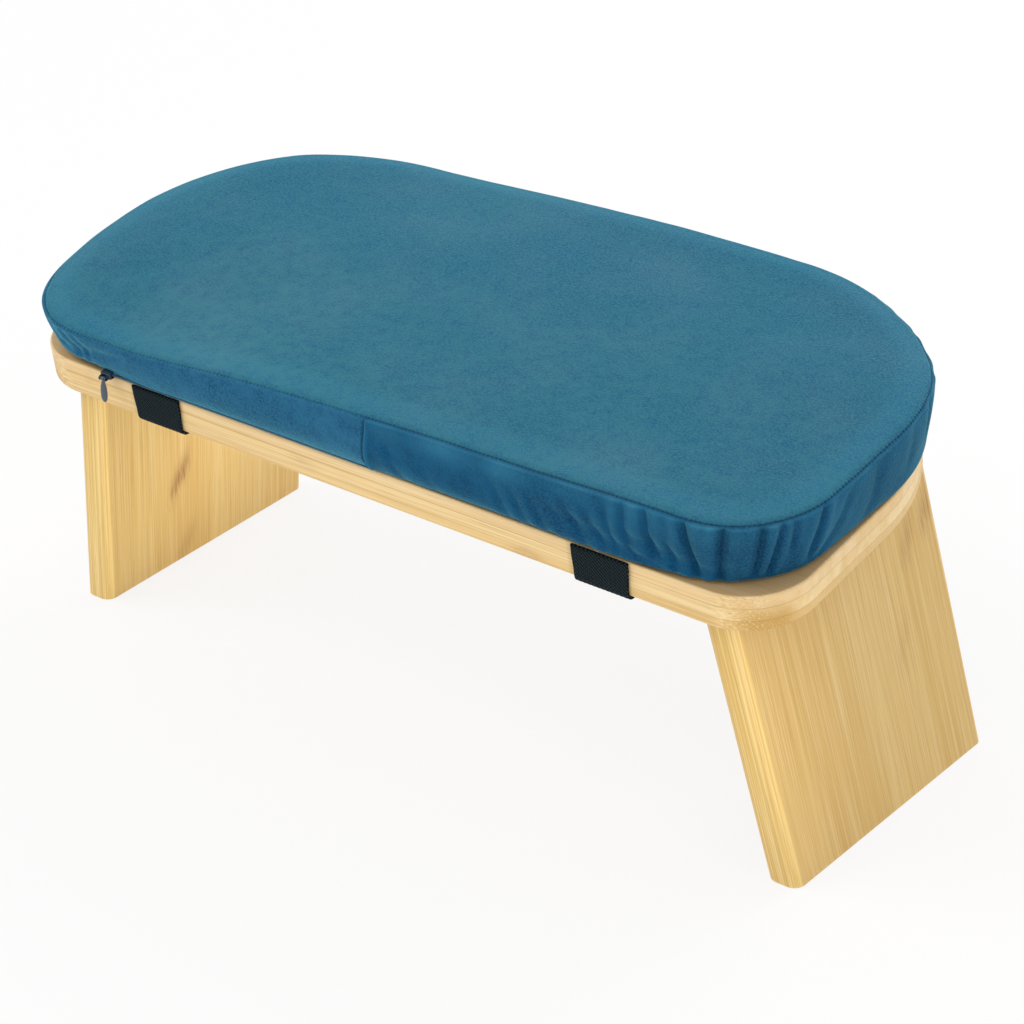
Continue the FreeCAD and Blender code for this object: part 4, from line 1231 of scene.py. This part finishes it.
def make_strap(side):
    """A woven strap with raised ribs and rolled edges, under tension round the board."""
    if side == "left":
        middle = -(seat_length / 2 - left_strap_inset - strap_width / 2)
    else:
        middle = seat_length / 2 - right_strap_inset - strap_width / 2
    mid = strap_gap + strap_thickness / 2
    across = strap_ribs * 6 + 1
    outer_rows = []
    inner_rows = []
    for j in range(across):
        t = j / (across - 1)
        x = middle + (t - 0.5) * strap_width
        edge = min(t, 1 - t) * strap_width
        rolled = math.sqrt(max(0.0, 1 - max(0.0, 1 - edge / rolled_edge) ** 2))
        rib = rib_height * math.cos(t * strap_ribs * math.tau)
        half = strap_thickness / 2 * (0.25 + 0.75 * rolled)
        outer = strap_path(x, mid + half + rib * rolled - rib_height)
        inner = strap_path(x, mid - half)
        outer_rows.append([(x, y, n) for y, n in outer])
        inner_rows.append([(x, y, n) for y, n in inner])
    outer_rows = np.array(outer_rows)
    inner_rows = np.array(inner_rows)[::-1]
    loop = np.concatenate([outer_rows, inner_rows])
    loop = np.swapaxes(loop, 0, 1)
    rows, columns = loop.shape[:2]
    row = np.arange(rows)
    pull = strap_narrowing * smooth_step(2, 9, row) * (1 - smooth_step(rows - 10, rows - 3, row))
    centred = (loop[:, :, 0] - middle) / (strap_width / 2)
    loop[:, :, 0] -= centred * pull[:, None]
    vertices, faces = tube(loop)
    strap = new_piece(side + "_elastic_strap", seat_to_world(vertices), faces)
    step = np.linalg.norm(np.diff(loop[:, 0], axis=0), axis=1)
    along = np.concatenate([[0], np.cumsum(step)])
    layer = strap.data.uv_layers.new(name="flat_cloth")
    corner_vertices = np.empty(len(strap.data.loops), dtype=np.int64)
    strap.data.loops.foreach_get("vertex_index", corner_vertices)
    flat = np.stack([loop[:, :, 0].ravel() * MM, np.repeat(along, columns) * MM], -1)
    layer.data.foreach_set("uv", flat[corner_vertices].ravel())
    strap.data.materials.append(black_elastic)
    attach(strap, "seat")
    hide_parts(side + "_strap")
    return strap


# Metal of the hinges, screws and zip

bare_steel = linear(232, 232, 228)
steel_dust = linear(190, 186, 178)


def make_metal(name, colour, dark, rough, brushed_along):
    """Zinc-plated steel with brush marks, stains, rubbed edges and a little dust.
    Brushed along is how many marks there are to the metre in each of the seat's directions."""
    material, tree, surface = new_material(name, sockets={"Metallic": 1.0})
    here = local_position(tree, seat_place)
    stretched = vector_sums(tree, "MULTIPLY", here, brushed_along)
    lines = noise(tree, stretched, 1.0, 3.0, 0.6)
    stain = noise(tree, here, 130.0, 3.0, 0.6)
    marks = ramp(tree, lines, 0.35, 0.8, 0.0, 0.4)
    shade = sums(tree, "MULTIPLY_ADD", ramp(tree, stain, 0.4, 0.75), 0.35, marks)
    tint = mixed_colour(tree, shade, colour, dark)
    tint, worn = rubbed(tree, here, tint, bare_steel, width=0.0005, unevenness=0.5, strength=0.35)
    tint = dusted(tree, here, tint, steel_dust, amount=0.05)[0]
    roughness = sums(tree, "MULTIPLY_ADD", lines, 0.18, rough)
    roughness = sums(tree, "MULTIPLY_ADD", worn, -0.08, roughness)
    fill_sockets(tree, surface, {
        "Base Color": tint, "Roughness": roughness, "Normal": bump(tree, lines, 0.15, 0.00005)})
    return material


hinge_steel = make_metal(
    "brushed_hinge_steel", linear(196, 197, 196), linear(138, 139, 140), 0.26, (9000.0, 120.0, 9000.0))
screw_steel = make_metal(
    "zinc_screw_steel", linear(206, 204, 196), linear(150, 148, 140), 0.3, (1500.0, 1500.0, 1500.0))


def make_zip_paint(name, colour, chip):
    """Thin blue-grey paint on the zip's metal, chipped lighter along its edges."""
    material, tree, surface = new_material(name, sockets={
        "Metallic": 0.35, "Specular IOR Level": 0.5, "Coat Weight": 0.25, "Coat Roughness": 0.25})
    here = rest_position(tree)
    cloud = ramp(tree, noise(tree, here, 700.0, 3.0, 0.6), 0.35, 0.7, 0.0, 0.35)
    tint = mixed_colour(tree, cloud, colour, linear(58, 68, 78))
    tint = rubbed(tree, here, tint, chip, width=0.00035, unevenness=0.7, strength=0.4)[0]
    roughness = sums(tree, "MULTIPLY_ADD", cloud, 0.3, 0.36)
    fill_sockets(tree, surface, {"Base Color": tint, "Roughness": roughness})
    return material


pull_paint = make_zip_paint("painted_zip_pull", linear(66, 80, 92), linear(122, 132, 140))
# The slider and the pull's pin take a darker copy of the pull's paint: painted shade round the top of the
# pull.
shaded_slider_paint = make_zip_paint("zip_slider_shaded_paint", linear(30, 54, 70), linear(96, 108, 116))


def make_coil_nylon():
    """Blue nylon of the coils, slightly clouded."""
    material, tree, surface = new_material("nylon_zip_coil", sockets={
        "Specular IOR Level": 0.45, "Sheen Weight": 0.1})
    here = rest_position(tree)
    cloud = noise(tree, here, 600.0, 3.0, 0.6)
    tint = mixed_colour(tree, cloud, linear(28, 88, 122), linear(44, 106, 140))
    roughness = sums(tree, "MULTIPLY_ADD", cloud, 0.2, 0.35)
    fill_sockets(tree, surface, {
        "Base Color": tint, "Roughness": roughness, "Normal": bump(tree, cloud, 0.2, 0.0001)})
    return material


coil_nylon = make_coil_nylon()


# Hinge screws: countersunk heads with a cross recess, set where the solids have them

screw_head_radius = 2.75
screw_head_height = 1.2
screw_shank_radius = 1.4
screw_length = 13.2
screw_groove = 0.22
recess_reach = 1.55
recess_half_width = 0.36
recess_depth = 0.8
screw_steps = 64


def screw_heads(node):
    """Middles of the flat heads of a pair of screws in millimetres, and the way that they face."""
    turn = np.array(node.matrix_world.to_3x3())
    shift = np.array(node.matrix_world.translation)
    faces = node.data.polygons
    normals = np.array([face.normal for face in faces]) @ turn.T
    middles = (np.array([face.center for face in faces]) @ turn.T + shift) / MM
    areas = np.array([face.area for face in faces])
    likeness = (normals @ normals.T > 0.9999) @ areas
    facing = normals[int(np.argmax(likeness))]
    level = middles @ facing
    flat = (normals @ facing > 0.9999) & (level > level.max() - 0.05)
    areas = areas[flat]
    middles = middles[flat]
    side = middles @ np.linalg.svd(middles - middles.mean(0))[2][0]
    parted = side > (side.min() + side.max()) / 2
    found = [np.average(middles[part], axis=0, weights=areas[part]) for part in (parted, ~parted)]
    return found, facing


def cross_reach(angle):
    """How far a cross-shaped recess reaches from its middle in a direction."""
    fold = abs((angle + math.pi / 4) % (math.pi / 2) - math.pi / 4)
    if recess_reach * math.tan(fold) < recess_half_width:
        return recess_reach / math.cos(fold)
    return recess_half_width / math.sin(fold)


def make_screws(name, body, chance):
    """The two screws of one hinge leaf, each turned home at its own angle."""
    middles, facing = screw_heads(nodes[name])
    sideways = np.cross(facing, (0.0, 1.0, 0.3))
    sideways /= np.linalg.norm(sideways)
    crosswise = np.cross(facing, sideways)
    angles = np.arange(screw_steps) * math.tau / screw_steps
    reach = np.array([cross_reach(a) for a in angles])
    plain = np.ones(screw_steps)
    profile = [
        (screw_shank_radius * plain, -screw_length), (screw_shank_radius * plain, -screw_head_height),
        ((screw_head_radius - 0.05) * plain, -0.1), ((screw_head_radius - screw_groove) * plain, 0.0),
        (reach, 0.0), (0.9 * reach, -0.15), (0.55 * reach, -recess_depth)]
    parts = []
    for middle in middles:
        turned = angles + chance.uniform(0, math.tau)
        outward = np.cos(turned)[:, None] * sideways + np.sin(turned)[:, None] * crosswise
        rings = [middle + radius[:, None] * outward + height * facing for radius, height in profile]
        parts.append(tube(rings))
    vertices, faces = joined(parts)
    screws = new_piece(name + "_crossed", np.array(vertices) * MM, faces, smooth=False)
    screws.data.materials.append(screw_steel)
    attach(screws, body)
    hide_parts(name)
    return screws


# Zip: two interlocked nylon coils, and a leaf-shaped pull on a rolled eye

coil_wire = 0.2
coil_pitch = 1.25
pull_pin_place = (-165.0, -109.5225, 164.9922)
slider_length = 7.0
slider_pin_y = -5.2
slider_pin_z = 0.5
slider_slot_y = -1.9
slider_low = -0.9
slider_high = 2.5
slider_flange = 0.6
plate_inset = 0.15
flange_inset = 0.25
flange_reach = 0.7
slider_edge_round = 0.55
slider_flange_round = 0.2
slider_ear_radius = 1.25
slider_ear_thickness = 0.8
slider_ear_gap = 0.3
pull_length = 14.6
pull_eye_radius = 1.15
pull_eye_bore = 0.6
pull_eye_width = 2.2
pull_leaf_width = 4.6
pull_leaf_thickness = 1.3
pull_steps = 24


def make_zip_teeth():
    """Two coils side by side within the strip's own space, each turn half a pitch past its neighbour."""
    node = nodes["zip_coil"]
    strip = world_to_seat(np.array([node.matrix_world @ v.co for v in node.data.vertices]))
    low = strip.min(0)
    high = strip.max(0)
    middle = (low + high) / 2
    reach_y = (high[1] - low[1]) / 2 - coil_wire
    reach_z = (high[2] - low[2]) / 4 - coil_wire / 2
    side_angles = np.arange(6) * math.tau / 6
    lengthwise = np.array([1.0, 0.0, 0.0])
    parts = []
    for sign in (-1, 1):
        turns = (high[0] - low[0] - 2 * coil_wire) / coil_pitch - 0.5
        turn = np.linspace(0, turns, int(turns * 12))
        angle = sign * turn * math.tau
        along = low[0] + coil_wire + (turn + (0.5 if sign > 0 else 0.0)) * coil_pitch
        rings = []
        for a, x in zip(angle, along):
            outward = np.array([0.0, math.cos(a), math.sin(a)])
            centre = np.array([x, middle[1] + reach_y * math.cos(a),
                               middle[2] + sign * reach_z + reach_z * math.sin(a)])
            rings.append([centre + coil_wire * (math.cos(b) * outward + math.sin(b) * lengthwise)
                          for b in side_angles])
        parts.append(tube(rings))
    vertices, faces = joined(parts)
    coil = new_piece("zip_coil_teeth", seat_to_world(vertices), faces)
    coil.data.materials.append(coil_nylon)
    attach(coil, "seat")
    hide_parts("zip_coil")
    return coil


def rounded_block(low, high, radius):
    """Block between two corners with all its edges rounded."""
    form = bmesh.new()
    bmesh.ops.create_cube(form, size=1.0)
    low = Vector(low)
    high = Vector(high)
    for v in form.verts:
        v.co = Vector((low[k] + (high[k] - low[k]) * (v.co[k] + 0.5) for k in range(3)))
    bmesh.ops.bevel(form, geom=form.edges[:], offset=radius, segments=3, profile=0.5, affect="EDGES")
    form.verts.index_update()
    vertices = [tuple(v.co) for v in form.verts]
    faces = [tuple(v.index for v in face.verts) for face in form.faces]
    form.free()
    return vertices, faces


def rounded_ear(x, foot_y):
    """Upright ear: a half round about the pin, with its straight sides run back into the slider's body."""
    radius = slider_ear_radius
    thick = slider_ear_thickness
    outline = [(radius * math.cos(a), radius * math.sin(a)) for a in np.radians(np.linspace(90, 270, 13))]
    outline += [(foot_y - slider_pin_y, -radius), (foot_y - slider_pin_y, radius)]
    rings = []
    for shift, shrink in ((0.0, 0.88), (0.12, 1.0), (thick - 0.12, 1.0), (thick, 0.88)):
        rings.append([(x + shift, slider_pin_y + y * (shrink if y < 0 else 1.0), slider_pin_z + z * shrink)
                      for y, z in outline])
    return tube(rings)


def make_slider():
    """Slider: a face plate and two flanges that hold the coils, and two ears for the pull's pin."""
    pin = world_to_seat(np.array(pull_pin_place) * MM)
    start = pin - np.array([slider_length / 2, slider_pin_y, slider_pin_z])
    face = slider_pin_y + slider_ear_radius + 0.35
    low = slider_low
    high = slider_high
    parts = [rounded_block(
        (plate_inset, face, low + 0.1), (slider_length - plate_inset, slider_slot_y, high - 0.1),
        slider_edge_round)]
    for level in (high - slider_flange, low):
        parts.append(rounded_block(
            (flange_inset, slider_slot_y - 0.5, level),
            (slider_length - flange_inset, flange_reach, level + slider_flange),
            slider_flange_round))
    room = pull_eye_width / 2 + slider_ear_gap
    for x in (slider_length / 2 - room - slider_ear_thickness, slider_length / 2 + room):
        parts.append(rounded_ear(x, face + 0.4))
    vertices, faces = joined(parts)
    slider = new_piece("zip_slider_body", seat_to_world(np.array(vertices) + start), faces, smooth=False)
    slider.data.materials.append(shaded_slider_paint)
    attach(slider, "zip_slider")
    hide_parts("zip_slider")
    return slider


def leaf_half_width(share):
    """Half of the pull's width at a share of the way down it: a narrow neck, then a long leaf."""
    leaf = np.interp(share, [0.0, 0.1, 0.18, 0.32, 0.48, 0.68, 0.82, 0.91, 0.97, 1.0],
                     [0.42, 0.46, 0.6, 0.88, 0.99, 1.0, 0.9, 0.7, 0.42, 0.14])
    return leaf * pull_leaf_width / 2


def make_leaf_pull():
    """The pull hangs from its pin: a rolled eye, and a leaf that is thickest along its middle."""
    pin = np.array(pull_pin_place)
    around = np.arange(pull_steps) * math.tau / pull_steps
    top = -pull_eye_radius * 0.55
    bottom = pull_eye_radius - pull_length + 0.1
    rings = []
    for share in np.concatenate([np.linspace(0, 0.9, 22), [0.93, 0.955, 0.975, 0.99, 1.0]]):
        half = leaf_half_width(share)
        thick = pull_leaf_thickness / 2 * (0.75 + 0.25 * math.sin(math.pi * min(share * 1.1, 1.0)))
        thick *= math.sqrt(max(0.05, 1 - max(0.0, (share - 0.9) / 0.1) ** 2))
        across = np.sign(np.cos(around)) * np.abs(np.cos(around)) ** 0.75 * half
        deep = np.sign(np.sin(around)) * np.abs(np.sin(around)) ** 0.9 * thick
        level = np.full(pull_steps, top + (bottom - top) * share)
        rings.append(np.column_stack([across, deep, level]) + pin)
    leaf = tube(rings)
    half = pull_eye_width / 2
    profile = [(-half, 0.72), (-half, 1.0), (-half + 0.15, pull_eye_radius), (half - 0.15, pull_eye_radius),
               (half, 1.0), (half, 0.72), (half - 0.1, pull_eye_bore), (-half + 0.1, pull_eye_bore)]
    eye_rings = [[pin + (x, radius * math.cos(a), radius * math.sin(a)) for a in around]
                 for x, radius in profile]
    eye_vertices = np.array(eye_rings).reshape(-1, 3)
    eye_faces = grid_faces(len(profile), pull_steps)
    last = (len(profile) - 1) * pull_steps
    for k in range(pull_steps):
        following = (k + 1) % pull_steps
        eye_faces.append((last + k, k, following, last + following))
    vertices, faces = joined([leaf, (eye_vertices, eye_faces)])
    pull = new_piece("leaf_zip_pull", np.array(vertices) * MM, faces)
    pull.data.materials.append(pull_paint)
    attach(pull, "zip_pull")
    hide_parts("zip_pull")
    return pull


# Studio

# The floor's half size and where its glow begins to grow and is full are in metres from the middle.
floor_half_size = 14.0
floor_drop = 0.2
floor_glow_near = 0.82
floor_glow_begins = 0.5
floor_glow_full = 2.0
white = (1.0, 1.0, 1.0, 1.0)


def seen_by(tree, *kinds):
    """1 for the kinds of light path that are named, and 0 for the others."""
    seen = place(tree, "LightPath").outputs
    share = seen[kinds[0]]
    for kind in kinds[1:]:
        share = sums(tree, "MAXIMUM", share, seen[kind])
    return share


def make_floor():
    """A pale floor. To the lens it glows white, wholly so farther away, and from beneath it is clear."""
    size = floor_half_size
    level = -floor_drop * MM
    corners = [(-size, -size, level), (size, -size, level), (size, size, level), (-size, size, level)]
    floor = new_piece("studio_floor", corners, [(0, 1, 2, 3)], smooth=False)
    material, tree, surface = new_material("pale_floor_paint", sockets={
        "Roughness": 0.75, "Specular IOR Level": 0.1})
    here = rest_position(tree)
    cloud = noise(tree, here, 2.0, 2.0)
    tint = mixed_colour(tree, cloud, (0.86, 0.86, 0.86, 1.0), (0.88, 0.88, 0.88, 1.0))
    fill_sockets(tree, surface, {"Base Color": tint})
    away = place(tree, "VectorMath", {0: here}, operation="LENGTH").outputs["Value"]
    direct = seen_by(tree, "Is Camera Ray", "Is Glossy Ray")
    glow_share = ramp(tree, away, floor_glow_begins, floor_glow_full, floor_glow_near, 1.0)
    share = sums(tree, "MULTIPLY", direct, glow_share)
    glow = place(tree, "Emission", {"Color": white, "Strength": 1.0}).outputs[0]
    above = mixed_shader(tree, share, tree.nodes["Principled BSDF"].outputs[0], glow)
    from_beneath = place(tree, "NewGeometry").outputs["Backfacing"]
    clear = place(tree, "BsdfTransparent").outputs[0]
    both_sides = mixed_shader(tree, from_beneath, above, clear)
    fill_sockets(tree, tree.nodes["Material Output"].inputs, {"Surface": both_sides})
    floor.data.materials.append(material)
    return floor


def make_world():
    """White all round: at full strength where it is seen, and softer as light."""
    world = bpy.data.worlds.new("soft_studio")
    world.use_nodes = True
    tree = world.node_tree
    tree.nodes.clear()
    direct = seen_by(tree, "Is Camera Ray", "Is Glossy Ray", "Is Transmission Ray")
    light = place(tree, "Background", {"Color": white, "Strength": 0.75}).outputs[0]
    backdrop = place(tree, "Background", {"Color": white, "Strength": 1.0}).outputs[0]
    place(tree, "OutputWorld", {"Surface": mixed_shader(tree, direct, light, backdrop)})
    bpy.context.scene.world = world


def make_lamp(name, where, aim, size, power, beam=None):
    """A round soft lamp, or a soft spot where it has a beam angle in degrees."""
    data = bpy.data.lights.new(name, "SPOT" if beam else "AREA")
    data.energy = power
    if beam:
        data.spot_size = math.radians(beam)
        data.spot_blend = 1.0
        data.shadow_soft_size = size / 2
    else:
        data.shape = "DISK"
        data.size = size
    lamp = bpy.data.objects.new(name, data)
    lamp.location = where
    lamp.rotation_euler = (Vector(aim) - Vector(where)).to_track_quat("-Z", "Y").to_euler()
    bpy.context.scene.collection.objects.link(lamp)
    return lamp


# Assembly

make_camera()
make_world()
make_floor()
make_lamp("soft_key", (-1.2, -1.3, 2.1), (0, 0, 0.12), size=1.5, power=20.0)
make_lamp("soft_side", (2.2, -0.2, 1.0), (0, 0, 0.12), size=1.5, power=4.0)
make_lamp("soft_back", (0.3, 1.9, 1.7), (0, 0, 0.15), size=1.4, power=18.0)
make_lamp("under_seat_fill", (1.35, -0.72, 0.04), (-0.2, 0.01, 0.07), size=0.2, power=110.0, beam=8.5)


def finish_node(name, material):
    """Puts a material on a piece that keeps the form of its solid."""
    mesh = nodes[name].data
    for k in range(len(mesh.materials)):
        mesh.materials[k] = material
    if not mesh.materials:
        mesh.materials.append(material)


finish_node("seat_board", seat_bamboo)
finish_node("left_leg", left_leg_bamboo)
finish_node("right_leg", right_leg_bamboo)
for name in nodes:
    if name.endswith("_leaf") or name.endswith("hinge_pin"):
        finish_node(name, hinge_steel)
finish_node("zip_pull_pin", shaded_slider_paint)
screw_turns = np.random.default_rng(29)
for side in ("left", "right"):
    for end in ("front", "rear"):
        for leaf, body in (("seat", "seat"), ("leg", side + "_leg")):
            make_screws(f"{side}_{end}_hinge_{leaf}_screws", body, screw_turns)
make_zip_teeth()
make_slider()
make_leaf_pull()

cushion = make_cushion()
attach(cushion, "seat")
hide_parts("foam_core", "cover_top_panel", "cover_zip_band", "cover_gathered_band",
            "cover_bottom_panel")
for side in ("left", "right"):
    make_strap(side)

bpy.context.scene.view_settings.view_transform = "Standard"
